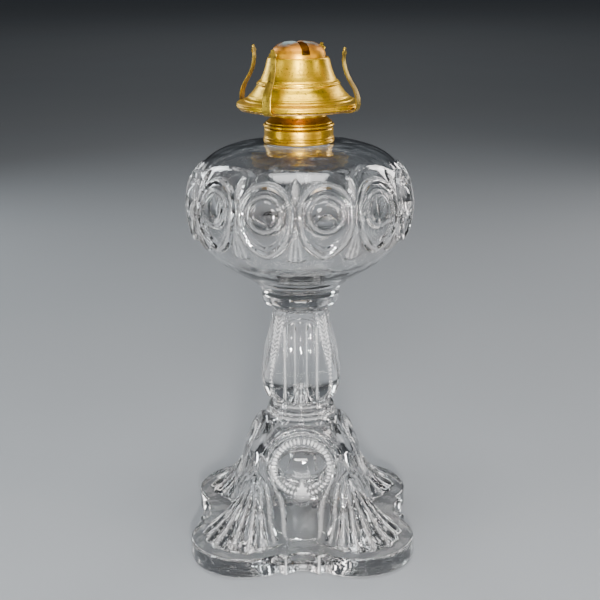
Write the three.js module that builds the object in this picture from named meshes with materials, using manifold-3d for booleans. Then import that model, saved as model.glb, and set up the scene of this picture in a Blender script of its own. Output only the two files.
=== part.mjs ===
// Pressed-glass stand lamp with a brass collar and a flat-wick brass burner.
// Millimetres, +Z up. The origin is the centre of the foot's underside, on the lamp's axis.
// One medallion of the foot faces -Y, which is the front.

import * as THREE from 'three';
import { mergeVertices } from 'three/addons/utils/BufferGeometryUtils.js';
import Module from 'manifold-3d';

const wasm = await Module();
wasm.setup();

// Clearances shared by all pieces
const SEAT_GAP = 0.3;
const OVERRUN = 2;
const WELD_DISTANCE = 0.0001;

// Foot: four round corner lobes, with a small cusped scallop in the middle of each side
const LOBE_RADIUS = 33.5;
const NOTCH_SPREAD = 13.5;
const CUSP_SPREAD = 9.6;
const CUSP_RISE = 3.6;
const SCALLOP_DEPTH = 5.1;
const RIM_HEIGHT = 12.4;
const RIM_BEVEL = 1.5;

// Skirt of the pedestal, between the foot's rim and the step rings
const SKIRT_HALF_WIDTH = 43;
const SKIRT_TOP_RADIUS = 21;
const SKIRT_HEIGHT = 66;

// Ribbed shells over the corners
const SHELL_HUB_RADIUS = 38;
const SHELL_HUB_HEIGHT = 40;
const SHELL_MARGIN = 6;
const SHELL_RIM_RISE = 2;
const SHELL_SIDE_RISE = 16;
const SHELL_RIB_DEPTH = 2.4;
const SHELL_POINT = 2.2;

// Oval medallions on the four sides, and the drop below each one
const MEDALLION_HALF_WIDTH = 19.5;
const MEDALLION_HALF_HEIGHT = 15;
const MEDALLION_CENTRE_Z = 59;
const MEDALLION_REACH = 31.2;
const MEDALLION_RELIEF = 3;
const MEDALLION_ROOT = 9;
const MEDALLION_TILT = THREE.MathUtils.degToRad(17);
const DROP_HALF_WIDTH = 6.9;
const DROP_HEIGHT = 16;
const DROP_RELIEF = 2.6;

// Step rings and stem
const STEP_HEIGHT = 9.4;
const STEM_FOOT_RADIUS = 16.6;
const STEM_RADIUS = 23.6;
const STEM_HEIGHT = 58;
const STEM_RELIEF = 1.3;

// Hollow left by the plunger under the foot
const HOLLOW_HALF_WIDTH = 36;
const HOLLOW_HEIGHT = 99;

// Disc of glass that joins the stem to the bowl
const WAFER_RADIUS = 15.2;
const WAFER_HEIGHT = 2.4;

// Bowl
const FLANGE_RADIUS = 23.2;
const BOWL_RADIUS = 64.3;
const BOWL_HEIGHT = 95;
const BOWL_WALL = 4.6;
const BOWL_FLOOR = 18;
const NECK_RADIUS = 18.3;
const NECK_WALL = 1.5;
const NECK_HEIGHT = 6.2;

// Bull's-eyes round the bowl
const EYE_COUNT = 12;
const EYE_HALF_HEIGHT = 17.5;
const EYE_HALF_WIDTH = 15.3;
const EYE_RELIEF = 2.9;
const EYE_ROOT = 2.6;
const EYE_RISE = 65.4;
const EYE_FIRST_ANGLE = THREE.MathUtils.degToRad(-92);
const LEAF_HALF_WIDTH = 5.2;
const LEAF_HEIGHT = 22;
const LEAF_RELIEF = 2.2;
const SPEAR_HALF_WIDTH = 3.2;
const SPEAR_HEIGHT = 13;

// Collar
const SHEET = 0.6;
const COLLAR_RADIUS = 19.8;
const COLLAR_HEIGHT = 8.5;
const COLLAR_CORNER = 0.9;
const RIDGE_DEPTH = 0.5;

// Burner shell: the turned bead that stands on the collar, the shoulder and the throat
const SCREW_DEPTH = 7.4;
const BEAD_HEIGHT = 2.9;
const SHOULDER_HEIGHT = 3.6;
const THROAT_RADIUS = 15.4;
const THROAT_HEIGHT = 3.4;
const THROAT_LIP = 3;

// Perforated plate
const PLATE_THICKNESS = 0.6;
const PLATE_HOLE_RADIUS = 1.7;
const PLATE_HOLE_COUNT = 12;

// Bell-shaped cone
const CONE_RADIUS = 35.4;
const CONE_HEIGHT = 27.9;
const CONE_MOUTH_RADIUS = 16.2;
const CONE_LIP = 0.7;

// Slotted dome
const DOME_RADIUS = 15.4;
const DOME_HEIGHT = 10.2;
const DOME_SHEET = 0.5;
const DOME_FLANGE = 0.9;
const DOME_SLOT_WIDTH = 4.6;
const DOME_SLOT_LENGTH = 31;

// Flat wick and its tube
const WICK_WIDTH = 25.4;
const WICK_THICKNESS = 2.5;
const WICK_CLEARANCE = 0.3;
const WICK_RISE = 1.5;
const WICK_TAIL = 5;
const TUBE_WALL = 0.5;
const TUBE_TAIL = 3.4;
const TUBE_DROP = 8.6;

// Vapour vent beside the wick tube
const VENT_RADIUS = 1.8;
const VENT_BORE_RADIUS = 1.2;
const VENT_HEIGHT = 24;
const VENT_WEB = 0.8;

// Winder
const SPINDLE_RADIUS = 1.1;
const SPINDLE_DROP = 4.5;
const RUNNING_CLEARANCE = 0.15;
const WHEEL_RADIUS = 3.6;
const WHEEL_TOOTH = 0.8;
const WHEEL_TEETH = 10;
const WHEEL_THICKNESS = 1.2;
const WHEEL_SPACING = 8;
const WHEEL_BITE_GAP = 0.15;
const BRACKET_THICKNESS = 0.8;
const BRACKET_MARGIN = 1.2;
const FERRULE_WALL = 0.6;
const FERRULE_LENGTH = 3.6;
const KNOB_RADIUS = 8;
const KNOB_THICKNESS = 1.4;
const KNOB_DISH = 0.7;
const KNOB_HUB_RADIUS = 2.4;
const KNOB_RUNNING_GAP = 0.9;
const KNOB_NOTCH = 0.5;

// Spring prongs
const PRONG_COUNT = 4;
const PRONG_WIDTH = 5.7;
const PRONG_THICKNESS = 0.8;
const PRONG_FOOT = 5.2;
const PRONG_STAND_OFF = 1.1;
const PRONG_HEIGHT = 32;
const PRONG_BOW = 8.4;
const TREFOIL_RADIUS = 1.3;
const TREFOIL_SPREAD = 1.15;
const TREFOIL_HOLE_RADIUS = 0.5;

// The burner was screwed home with its slot turned out of line with the foot
const BURNER_TURN = THREE.MathUtils.degToRad(17);

// Facets round each kind of piece
const BOWL_SEGMENTS = 24;
const HOLLOW_SEGMENTS = 20;
const SKIRT_SEGMENTS = 32;
const STEM_SEGMENTS = 40;
const RING_SEGMENTS = 24;
const SMALL_SEGMENTS = 20;
const EYE_SEGMENTS = 12;
const MEDALLION_SEGMENTS = 14;
const LEAF_SEGMENTS = 8;
const DROP_SEGMENTS = 6;
const KEEL_SIDES = 4;
const HOLE_SIDES = 6;
const LOBE_SEGMENTS = 11;
const SCALLOP_SEGMENTS = 4;

// Heights that follow from the sizes above, from the foot up
const skirtTopZ = RIM_HEIGHT + SKIRT_HEIGHT;
const stemFootZ = skirtTopZ + STEP_HEIGHT;
const stemTopZ = stemFootZ + STEM_HEIGHT;
const waferZ = stemTopZ + SEAT_GAP;
const bowlZ = waferZ + WAFER_HEIGHT + SEAT_GAP;
const shoulderZ = bowlZ + BOWL_HEIGHT;
const neckTopZ = shoulderZ + NECK_HEIGHT;
const collarZ = shoulderZ + SEAT_GAP;
const collarTopZ = collarZ + COLLAR_HEIGHT;
const beadZ = collarTopZ + SEAT_GAP;
const throatZ = beadZ + BEAD_HEIGHT + SHOULDER_HEIGHT;
const throatTopZ = throatZ + THROAT_HEIGHT;
const plateZ = throatTopZ + SEAT_GAP;
const plateTopZ = plateZ + PLATE_THICKNESS;
const coneZ = plateTopZ + SEAT_GAP;
const coneTopZ = coneZ + CONE_HEIGHT;
const domeZ = coneTopZ - SHEET - SEAT_GAP - DOME_SHEET;
const tubeTopZ = domeZ + DOME_HEIGHT - TUBE_DROP;
const tubeWidth = WICK_WIDTH + 2 * (WICK_CLEARANCE + TUBE_WALL);
const tubeDepth = WICK_THICKNESS + 2 * (WICK_CLEARANCE + TUBE_WALL);
const collarBoreRadius = NECK_RADIUS - NECK_WALL - SEAT_GAP - SHEET;
const screwRadius = collarBoreRadius - SEAT_GAP;
const spindleX = WICK_THICKNESS / 2 + WHEEL_BITE_GAP + WHEEL_RADIUS;
const spindleZ = throatTopZ - SPINDLE_DROP;
const spindleHoleRadius = SPINDLE_RADIUS + RUNNING_CLEARANCE;
const knobY = CONE_RADIUS + KNOB_RUNNING_GAP;
const ventX = -(tubeDepth / 2 + VENT_WEB + VENT_RADIUS + 2 * SEAT_GAP);
const plateRadius = CONE_RADIUS - PRONG_STAND_OFF - SHEET;

// Solids

function facingOut(positions, index) {
  const corners = [new THREE.Vector3(), new THREE.Vector3(), new THREE.Vector3()];
  let volume = 0;
  for (let i = 0; i < index.length; i += 3) {
    corners.forEach((corner, k) => corner.fromArray(positions, 3 * index[i + k]));
    volume += corners[0].dot(corners[1].cross(corners[2]));
  }
  if (volume > 0) return index;
  const flipped = [];
  for (let i = 0; i < index.length; i += 3) {
    flipped.push(index[i], index[i + 2], index[i + 1]);
  }
  return flipped;
}

function solid(geometry) {
  const bare = geometry.clone();
  for (const name of Object.keys(bare.attributes)) {
    if (name !== 'position') {
      bare.deleteAttribute(name);
    }
  }
  const merged = mergeVertices(bare, WELD_DISTANCE);
  const all = Array.from(merged.index.array);
  const index = [];
  for (let i = 0; i < all.length; i += 3) {
    const [a, b, c] = all.slice(i, i + 3);
    if (a !== b && b !== c && c !== a) {
      index.push(a, b, c);
    }
  }
  const positions = merged.attributes.position.array;
  return new wasm.Manifold(new wasm.Mesh({
    numProp: 3,
    vertProperties: Float32Array.from(positions),
    triVerts: Uint32Array.from(facingOut(positions, index)),
  }));
}

function geometryOf(body) {
  const mesh = body.getMesh();
  const geometry = new THREE.BufferGeometry();
  geometry.setAttribute('position', new THREE.BufferAttribute(Float32Array.from(mesh.vertProperties), 3));
  geometry.setIndex(Array.from(mesh.triVerts));
  geometry.computeVertexNormals();
  return geometry;
}

function joined(bodies) {
  return bodies.reduce((whole, body) => whole.add(body));
}

function cut(body, tools) {
  return tools.reduce((rest, tool) => rest.subtract(tool), body);
}

// A profile of [radius, height] points turned about the Z axis
function turned(profile, segments) {
  const points = profile.map(([radius, height]) => new THREE.Vector2(radius, height));
  return new THREE.LatheGeometry(points, segments).rotateX(Math.PI / 2);
}

function scaledProfile(shares, radius, height, baseZ) {
  return shares.map(([radiusShare, heightShare]) => [radius * radiusShare, baseZ + height * heightShare]);
}

function closed(profile) {
  return [...profile, profile[0]];
}

function ring(innerRadius, outerRadius, bottomZ, topZ) {
  return closed([[outerRadius, bottomZ], [outerRadius, topZ], [innerRadius, topZ], [innerRadius, bottomZ]]);
}

function movedPoints(geometry, move) {
  const points = geometry.attributes.position;
  const point = new THREE.Vector3();
  for (let i = 0; i < points.count; i += 1) {
    point.fromBufferAttribute(points, i);
    move(point);
    points.setXYZ(i, point.x, point.y, point.z);
  }
  return geometry;
}

function aroundAxis(geometry, count, firstAngle) {
  return Array.from({ length: count }, (_, i) => (
    solid(geometry.clone().rotateZ(firstAngle + (i * 2 * Math.PI) / count))
  ));
}

function circle(x, y, radius, sides) {
  return Array.from({ length: sides }, (_, i) => {
    const angle = (i * 2 * Math.PI) / sides;
    return new THREE.Vector2(x + radius * Math.cos(angle), y + radius * Math.sin(angle));
  });
}

function plate(outline, holes, thickness) {
  const shape = new THREE.Shape(outline);
  shape.holes = holes.map((hole) => new THREE.Path(hole));
  return new THREE.ExtrudeGeometry(shape, { depth: thickness, bevelEnabled: false });
}

function cylinderAt(radius, length, segments, x, y, z) {
  return new THREE.CylinderGeometry(radius, radius, length, segments).translate(x, y, z);
}

// Turns a round section into a rounded square one; the power ROUND leaves it round
const ROUND = 2;

function squared(point, power) {
  const radius = Math.hypot(point.x, point.y);
  if (radius === 0) {
    return;
  }
  const c = Math.abs(point.x) / radius;
  const s = Math.abs(point.y) / radius;
  const stretch = 1 / (c ** power + s ** power) ** (1 / power);
  point.x *= stretch;
  point.y *= stretch;
}

// Pedestal

function footOutline() {
  const notchReach = LOBE_RADIUS + Math.sqrt(LOBE_RADIUS ** 2 - (LOBE_RADIUS - NOTCH_SPREAD) ** 2);
  const cuspReach = notchReach + CUSP_RISE;
  const arcRadius = (CUSP_SPREAD ** 2 + SCALLOP_DEPTH ** 2) / (2 * SCALLOP_DEPTH);
  const arcHalfAngle = Math.asin(CUSP_SPREAD / arcRadius);
  const startAngle = Math.atan2(notchReach - LOBE_RADIUS, NOTCH_SPREAD - LOBE_RADIUS);
  const endAngle = Math.PI / 2 - startAngle;
  const side = [];
  for (let i = 0; i <= SCALLOP_SEGMENTS; i += 1) {
    const angle = arcHalfAngle * (1 - (2 * i) / SCALLOP_SEGMENTS);
    const depth = arcRadius * (Math.cos(angle) - Math.cos(arcHalfAngle));
    side.push(new THREE.Vector2(-arcRadius * Math.sin(angle), cuspReach - depth));
  }
  for (let i = 0; i <= LOBE_SEGMENTS; i += 1) {
    const angle = startAngle + ((endAngle - startAngle) * i) / LOBE_SEGMENTS;
    side.push(new THREE.Vector2(
      LOBE_RADIUS * (1 + Math.cos(angle)),
      LOBE_RADIUS * (1 + Math.sin(angle)),
    ));
  }
  const middle = new THREE.Vector2();
  const points = [];
  for (let k = 0; k < 4; k += 1) {
    points.push(...side.map((point) => point.clone().rotateAround(middle, (-k * Math.PI) / 2)));
  }
  return new THREE.Shape(points.reverse());
}

function footRim() {
  const geometry = new THREE.ExtrudeGeometry(footOutline(), {
    depth: RIM_HEIGHT - 2 * RIM_BEVEL,
    bevelEnabled: true,
    bevelThickness: RIM_BEVEL,
    bevelSize: RIM_BEVEL,
    bevelOffset: -RIM_BEVEL,
    bevelSegments: 1,
  });
  return solid(geometry.translate(0, 0, RIM_BEVEL));
}

const skirtShares = [[1, 0], [0.95, 0.2], [0.86, 0.42], [0.75, 0.62], [0.63, 0.8], [0.49, 1]];

const skirtSquareShare = 3;

function skirtRadius(heightShare) {
  const next = Math.max(1, skirtShares.findIndex(([, share]) => share >= heightShare));
  const [lowRadius, lowHeight] = skirtShares[next - 1];
  const [highRadius, highHeight] = skirtShares[next];
  const mix = (heightShare - lowHeight) / (highHeight - lowHeight);
  const [topShare] = skirtShares[skirtShares.length - 1];
  const drawnIn = SKIRT_TOP_RADIUS / (SKIRT_HALF_WIDTH * topShare);
  const share = lowRadius + (highRadius - lowRadius) * mix;
  return SKIRT_HALF_WIDTH * share * (1 + (drawnIn - 1) * heightShare);
}

function skirt() {
  const side = skirtShares.map(([, share]) => [skirtRadius(share), RIM_HEIGHT + SKIRT_HEIGHT * share]);
  const profile = [[0, RIM_HEIGHT - OVERRUN], [side[0][0], RIM_HEIGHT - OVERRUN], ...side, [0, skirtTopZ]];
  return solid(movedPoints(turned(profile, SKIRT_SEGMENTS), (point) => {
    const down = 1 - (point.z - RIM_HEIGHT) / SKIRT_HEIGHT;
    squared(point, ROUND + skirtSquareShare * Math.max(0, down));
  }));
}

// A shell fans out from its hub to the rim of its lobe. Across it u runs from -1 to 1, and from the hub out
// v runs from 0 to 1; its ribs are two facets each and end in points
const SHELL_RIBS = 9;
const SHELL_ROWS = 4;
const SHELL_HALF_ANGLE = THREE.MathUtils.degToRad(92);
const shellFrontShare = 0.55;
const frontFallShare = 1.5;
const sideFallShare = 1.1;
const ribSwellShare = 0.8;

function shellPoint(u, v) {
  const lobeReach = Math.SQRT2 * LOBE_RADIUS;
  const ahead = lobeReach - SHELL_HUB_RADIUS;
  const rimRadius = LOBE_RADIUS - SHELL_MARGIN;
  const angle = u * SHELL_HALF_ANGLE;
  const column = Math.round((u + 1) * SHELL_RIBS);
  const crest = column % 2;
  const reach = ahead * Math.cos(angle) + Math.sqrt(rimRadius ** 2 - (ahead * Math.sin(angle)) ** 2);
  const length = (reach + crest * SHELL_POINT) * v;
  const side = Math.max(0, (Math.abs(u) - shellFrontShare) / (1 - shellFrontShare));
  const rimZ = RIM_HEIGHT + SHELL_RIM_RISE + SHELL_SIDE_RISE * side ** 2;
  const hubZ = RIM_HEIGHT + SHELL_HUB_HEIGHT;
  const fall = (1 - v) ** (frontFallShare - (frontFallShare - sideFallShare) * side);
  const rib = crest * SHELL_RIB_DEPTH * Math.sin(Math.PI * ribSwellShare * v);
  const x = SHELL_HUB_RADIUS + length * Math.cos(angle);
  const y = length * Math.sin(angle);
  return new THREE.Vector3(x, y, rimZ + (hubZ - rimZ) * fall + rib);
}

function shells() {
  const grid = new THREE.BoxGeometry(1, 1, 1, 2 * SHELL_RIBS, SHELL_ROWS, 1);
  const shell = movedPoints(grid, (point) => {
    const top = point.z > 0;
    point.copy(shellPoint(2 * point.x, point.y + 1 / 2));
    if (!top) {
      point.z = RIM_HEIGHT - OVERRUN;
    }
  });
  return aroundAxis(shell, 4, Math.PI / 4);
}

const medallionShares = [
  [0, 1.05], [0.36, 0.92], [0.66, 0.2], [0.8, 0.74], [0.94, 0.62], [1, 0.2], [1.09, 0.62], [1.2, -0.3],
];

function medallions() {
  const face = scaledProfile(medallionShares, 1, MEDALLION_RELIEF, 0);
  const edgeShare = face[face.length - 1][0];
  const profile = [...face, [edgeShare, -MEDALLION_ROOT], [0, -MEDALLION_ROOT]];
  const oval = turned(profile, MEDALLION_SEGMENTS)
    .scale(MEDALLION_HALF_WIDTH, MEDALLION_HALF_HEIGHT, 1)
    .rotateX(Math.PI / 2 - MEDALLION_TILT)
    .translate(0, -MEDALLION_REACH, MEDALLION_CENTRE_Z);
  return aroundAxis(oval, 4, 0);
}

// The drop under a medallion: pointed above, round below
const dropShares = [[0, 1], [0.6, 0.56], [1, 0.26], [0.75, 0.06], [0, 0]];

function drops() {
  const topZ = MEDALLION_CENTRE_Z - MEDALLION_HALF_HEIGHT * Math.cos(MEDALLION_TILT) + RIM_BEVEL;
  const bottomZ = topZ - DROP_HEIGHT;
  const lowRadius = skirtRadius((bottomZ - RIM_HEIGHT) / SKIRT_HEIGHT);
  const highRadius = skirtRadius((topZ - RIM_HEIGHT) / SKIRT_HEIGHT);
  const drop = turned(scaledProfile(dropShares, DROP_HALF_WIDTH, DROP_HEIGHT, 0), DROP_SEGMENTS)
    .scale(1, DROP_RELIEF / DROP_HALF_WIDTH, 1)
    .rotateX(-Math.atan2(lowRadius - highRadius, DROP_HEIGHT))
    .translate(0, -lowRadius, bottomZ);
  return aroundAxis(drop, 4, 0);
}

const stepShares = [
  [1.28, 0], [1.27, 0.18], [1.15, 0.28], [1.22, 0.4], [1.2, 0.55], [1.04, 0.64], [1.05, 0.84], [1, 1],
];

function stepRings() {
  const side = scaledProfile(stepShares, STEM_FOOT_RADIUS, STEP_HEIGHT, skirtTopZ);
  return solid(turned([[0, skirtTopZ - OVERRUN], [side[0][0], skirtTopZ - OVERRUN], ...side,
    [0, stemFootZ]], RING_SEGMENTS));
}

// The stem swells low down. Each quarter has a panel of upright bars, a flute and half a corner leaf
const stemShares = [
  [0.72, 0], [0.87, 0.06], [0.965, 0.15], [1, 0.27], [0.965, 0.42], [0.895, 0.58], [0.8, 0.74], [0.73, 0.9],
  [0.7, 1],
];
const stemReliefShares = [0.35, -0.35, 0.5, -0.85, -0.3, 0.9];
const reliefStartShare = 0.02;
const reliefEndShare = 0.92;
const reliefFadeShare = 0.14;

function stem() {
  const side = scaledProfile(stemShares, STEM_RADIUS, STEM_HEIGHT, stemFootZ);
  const profile = [[0, stemFootZ - OVERRUN], [side[0][0], stemFootZ - OVERRUN], ...side, [0, stemTopZ]];
  const lathe = turned(profile, STEM_SEGMENTS);
  return solid(movedPoints(lathe, (point) => {
    const radius = Math.hypot(point.x, point.y);
    const heightShare = (point.z - stemFootZ) / STEM_HEIGHT;
    if (radius === 0 || heightShare <= 0) {
      return;
    }
    const below = (heightShare - reliefStartShare) / reliefFadeShare;
    const above = (reliefEndShare - heightShare) / reliefFadeShare;
    const fade = THREE.MathUtils.clamp(Math.min(below, above), 0, 1);
    const turn = (Math.atan2(point.y, point.x) * STEM_SEGMENTS) / (2 * Math.PI);
    const quarter = STEM_SEGMENTS / 4;
    const place = Math.round(turn + STEM_SEGMENTS) % quarter;
    const relief = STEM_RELIEF * fade * stemReliefShares[Math.min(place, quarter - place)];
    point.x *= 1 + relief / radius;
    point.y *= 1 + relief / radius;
  }));
}

const hollowSquareShare = 1.6;
const hollowRoundShare = 0.7;
const hollowShares = [
  [1, 0], [0.95, 0.14], [0.84, 0.34], [0.7, 0.52], [0.48, 0.68], [0.28, 0.82], [0.14, 0.95],
];

function hollow() {
  const side = scaledProfile(hollowShares, HOLLOW_HALF_WIDTH, HOLLOW_HEIGHT, 0);
  const profile = [[0, -OVERRUN], [side[0][0], -OVERRUN], ...side, [0, HOLLOW_HEIGHT]];
  return solid(movedPoints(turned(profile, SMALL_SEGMENTS), (point) => {
    const down = 1 - point.z / (HOLLOW_HEIGHT * hollowRoundShare);
    squared(point, ROUND + hollowSquareShare * THREE.MathUtils.clamp(down, 0, 1));
  }));
}

function glassPedestal() {
  const raised = [footRim(), skirt(), ...shells(), ...medallions(), ...drops(), stepRings(), stem()];
  return geometryOf(cut(joined(raised), [hollow()]));
}

const waferShares = [[0.94, 0], [1, 0.3], [1, 0.7], [0.96, 1]];

function joiningWafer() {
  const side = scaledProfile(waferShares, WAFER_RADIUS, WAFER_HEIGHT, waferZ);
  return geometryOf(solid(turned([[0, waferZ], ...side, [0, waferZ + WAFER_HEIGHT]], SMALL_SEGMENTS)));
}

// Bowl

const flangeShares = [[0.72, 0], [0.9, 0.028], [1, 0.052], [1, 0.085], [1.04, 0.105]];
const bowlShares = [
  [0.45, 0.15], [0.59, 0.215], [0.77, 0.3], [0.91, 0.41], [0.99, 0.54], [0.995, 0.67], [0.945, 0.79],
  [0.865, 0.885], [0.73, 0.95], [0.56, 0.986], [0.42, 0.996],
];

function bowlOutline() {
  return [
    ...scaledProfile(flangeShares, FLANGE_RADIUS, BOWL_HEIGHT, bowlZ),
    ...scaledProfile(bowlShares, BOWL_RADIUS, BOWL_HEIGHT, bowlZ),
  ];
}

// The bowl's side as a smooth line, which the relief is laid on
const bowlSide = new THREE.SplineCurve(
  scaledProfile(bowlShares, BOWL_RADIUS, BOWL_HEIGHT, bowlZ).map((point) => new THREE.Vector2(...point)),
);
const bowlSideLength = bowlSide.getLength();
const sideEndShare = 0.005;

// The length along the side's line at which it reaches a height above the bowl's base
const HALVINGS = 30;

function lengthAtRise(rise) {
  let low = 0;
  let high = 1;
  for (let i = 0; i < HALVINGS; i += 1) {
    const middle = (low + high) / 2;
    if (bowlSide.getPointAt(middle).y < bowlZ + rise) {
      low = middle;
    } else {
      high = middle;
    }
  }
  return low * bowlSideLength;
}

const eyeLength = lengthAtRise(EYE_RISE);

// Lays flat relief on the bowl: x runs round it, y up its side and z out of it
function laidOnBowl(geometry, alongSide) {
  return movedPoints(geometry, (point) => {
    const place = THREE.MathUtils.clamp((alongSide + point.y) / bowlSideLength, 0, 1);
    const centre = THREE.MathUtils.clamp(alongSide / bowlSideLength, 0, 1);
    const foot = bowlSide.getPointAt(place);
    const along = bowlSide.getTangentAt(THREE.MathUtils.clamp(place, sideEndShare, 1));
    const radius = foot.x + along.y * point.z;
    const angle = point.x / bowlSide.getPointAt(centre).x;
    point.set(radius * Math.cos(angle), radius * Math.sin(angle), foot.y - along.x * point.z);
  });
}

const eyeShares = [
  [0, 1.05], [0.3, 0.9], [0.46, 0.25], [0.58, 0.72], [0.72, 0.12], [0.88, 0.86], [1, -0.1],
];

function eyes() {
  const face = scaledProfile(eyeShares, 1, EYE_RELIEF, 0);
  const profile = [...face, [1, -EYE_ROOT], [0, -EYE_ROOT]];
  const flat = turned(profile, EYE_SEGMENTS).scale(EYE_HALF_WIDTH, EYE_HALF_HEIGHT, 1);
  return aroundAxis(laidOnBowl(flat, eyeLength), EYE_COUNT, EYE_FIRST_ANGLE + Math.PI / EYE_COUNT);
}

// Below and between the eyes hangs a leaf, and above them stands a spear; both are pointed at each end
const leafWidestShare = 0.45;
const leafBelowShare = 0.65;
const spearWidestShare = 0.6;

function pointedRelief(halfWidth, height, relief, widestShare) {
  const profile = [[0, 0], [halfWidth, height * widestShare], [0, height]];
  return turned(profile, KEEL_SIDES).scale(1, relief / halfWidth, 1).rotateX(-Math.PI / 2);
}

function betweenEyes() {
  const leaf = pointedRelief(LEAF_HALF_WIDTH, LEAF_HEIGHT, LEAF_RELIEF, leafWidestShare);
  const leafBottom = eyeLength - EYE_HALF_HEIGHT - LEAF_HEIGHT * (1 - leafBelowShare);
  const spear = pointedRelief(SPEAR_HALF_WIDTH, SPEAR_HEIGHT, LEAF_RELIEF, spearWidestShare);
  const spearBottom = eyeLength + EYE_HALF_HEIGHT - SPEAR_HEIGHT;
  return [
    ...aroundAxis(laidOnBowl(leaf, leafBottom), EYE_COUNT, EYE_FIRST_ANGLE),
    ...aroundAxis(laidOnBowl(spear, spearBottom), EYE_COUNT, EYE_FIRST_ANGLE),
  ];
}

const bowlInsideShares = [
  [0.3, 0], [0.6, 0.08], [0.82, 0.2], [0.96, 0.38], [1, 0.56], [0.965, 0.74], [0.86, 0.88], [0.62, 0.975],
];

function bowlInside() {
  const boreRadius = NECK_RADIUS - NECK_WALL;
  const insideHeight = BOWL_HEIGHT - BOWL_FLOOR - BOWL_WALL;
  const floorZ = bowlZ + BOWL_FLOOR;
  const side = scaledProfile(bowlInsideShares, BOWL_RADIUS - BOWL_WALL, insideHeight, floorZ);
  const profile = [
    [0, floorZ], ...side, [boreRadius, floorZ + insideHeight], [boreRadius, neckTopZ + OVERRUN],
    [0, neckTopZ + OVERRUN],
  ];
  return solid(turned(profile, HOLLOW_SEGMENTS));
}

function glassFont() {
  const outline = [...bowlOutline(), [NECK_RADIUS + COLLAR_CORNER, shoulderZ], [NECK_RADIUS, shoulderZ],
    [NECK_RADIUS, neckTopZ]];
  const body = turned([[0, bowlZ], ...outline, [0, neckTopZ]], BOWL_SEGMENTS);
  const outside = solid(body.rotateZ(EYE_FIRST_ANGLE + Math.PI / 2));
  return geometryOf(cut(joined([outside, ...eyes(), ...betweenEyes()]), [bowlInside()]));
}

// Collar

function collarCement() {
  const inner = NECK_RADIUS - NECK_WALL;
  const outer = COLLAR_RADIUS - SHEET - SEAT_GAP;
  return geometryOf(solid(turned(
    ring(inner, outer, neckTopZ + SEAT_GAP, collarTopZ - SHEET - SEAT_GAP),
    RING_SEGMENTS,
  )));
}

function brassCollar() {
  const flare = COLLAR_RADIUS + RIDGE_DEPTH;
  const groove = COLLAR_RADIUS - RIDGE_DEPTH / 2;
  const outer = [
    [flare, collarZ], [flare, collarZ + SHEET],
    [groove, collarZ + 2 * SHEET], [COLLAR_RADIUS, collarZ + 3 * SHEET],
    [COLLAR_RADIUS, collarTopZ - COLLAR_CORNER], [COLLAR_RADIUS - COLLAR_CORNER, collarTopZ],
    [collarBoreRadius, collarTopZ],
  ];
  const inside = COLLAR_RADIUS - SHEET;
  const inner = [
    [collarBoreRadius, collarZ], [collarBoreRadius + SHEET, collarZ],
    [collarBoreRadius + SHEET, collarTopZ - SHEET], [inside - COLLAR_CORNER + SHEET, collarTopZ - SHEET],
    [inside - RIDGE_DEPTH / 2, collarTopZ - SHEET - COLLAR_CORNER], [inside - RIDGE_DEPTH / 2, collarZ],
  ];
  return geometryOf(solid(turned(closed([...outer, ...inner]), RING_SEGMENTS)));
}

// Burner, in its own frame: the wick's width and the spindle lie along Y, and the winder is on +X

function spindleHole(radius, length, y) {
  return solid(cylinderAt(radius, length, LEAF_SEGMENTS, spindleX, y, spindleZ));
}

function burnerScrew() {
  const bottomZ = collarTopZ - SCREW_DEPTH;
  const flangeZ = collarTopZ + SEAT_GAP;
  const flangeRadius = COLLAR_RADIUS - SHEET - SEAT_GAP;
  const profile = closed([
    [screwRadius, bottomZ], [screwRadius, flangeZ], [flangeRadius, flangeZ], [flangeRadius, flangeZ + SHEET],
    [screwRadius - SHEET, flangeZ + SHEET], [screwRadius - SHEET, bottomZ],
  ]);
  return geometryOf(solid(turned(profile, SMALL_SEGMENTS)));
}

function burnerBase() {
  const beadTopZ = beadZ + BEAD_HEIGHT;
  const outer = [
    [COLLAR_RADIUS, beadZ], [COLLAR_RADIUS + RIDGE_DEPTH, beadZ + BEAD_HEIGHT / 3],
    [COLLAR_RADIUS, beadTopZ - SHEET], [COLLAR_RADIUS - SHEET * 2, beadTopZ],
    [THROAT_RADIUS + SHEET, throatZ - SHEET], [THROAT_RADIUS, throatZ], [THROAT_RADIUS, throatTopZ - SHEET],
    [THROAT_RADIUS + SHEET, throatTopZ - SHEET], [THROAT_RADIUS + THROAT_LIP, throatTopZ - SHEET],
  ];
  const inner = [
    [THROAT_RADIUS + THROAT_LIP, throatTopZ], [THROAT_RADIUS - SHEET, throatTopZ],
    [THROAT_RADIUS - SHEET, throatZ],
    [THROAT_RADIUS, throatZ - SHEET], [COLLAR_RADIUS - SHEET * 3, beadTopZ - SHEET],
    [COLLAR_RADIUS - SHEET, beadTopZ - 2 * SHEET], [COLLAR_RADIUS - SHEET, beadZ],
  ];
  const shell = solid(turned(closed([...outer, ...inner]), RING_SEGMENTS));
  const ferruleRadius = spindleHoleRadius + FERRULE_WALL + SEAT_GAP;
  return geometryOf(cut(shell, [spindleHole(ferruleRadius, COLLAR_RADIUS, COLLAR_RADIUS)]));
}

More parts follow.
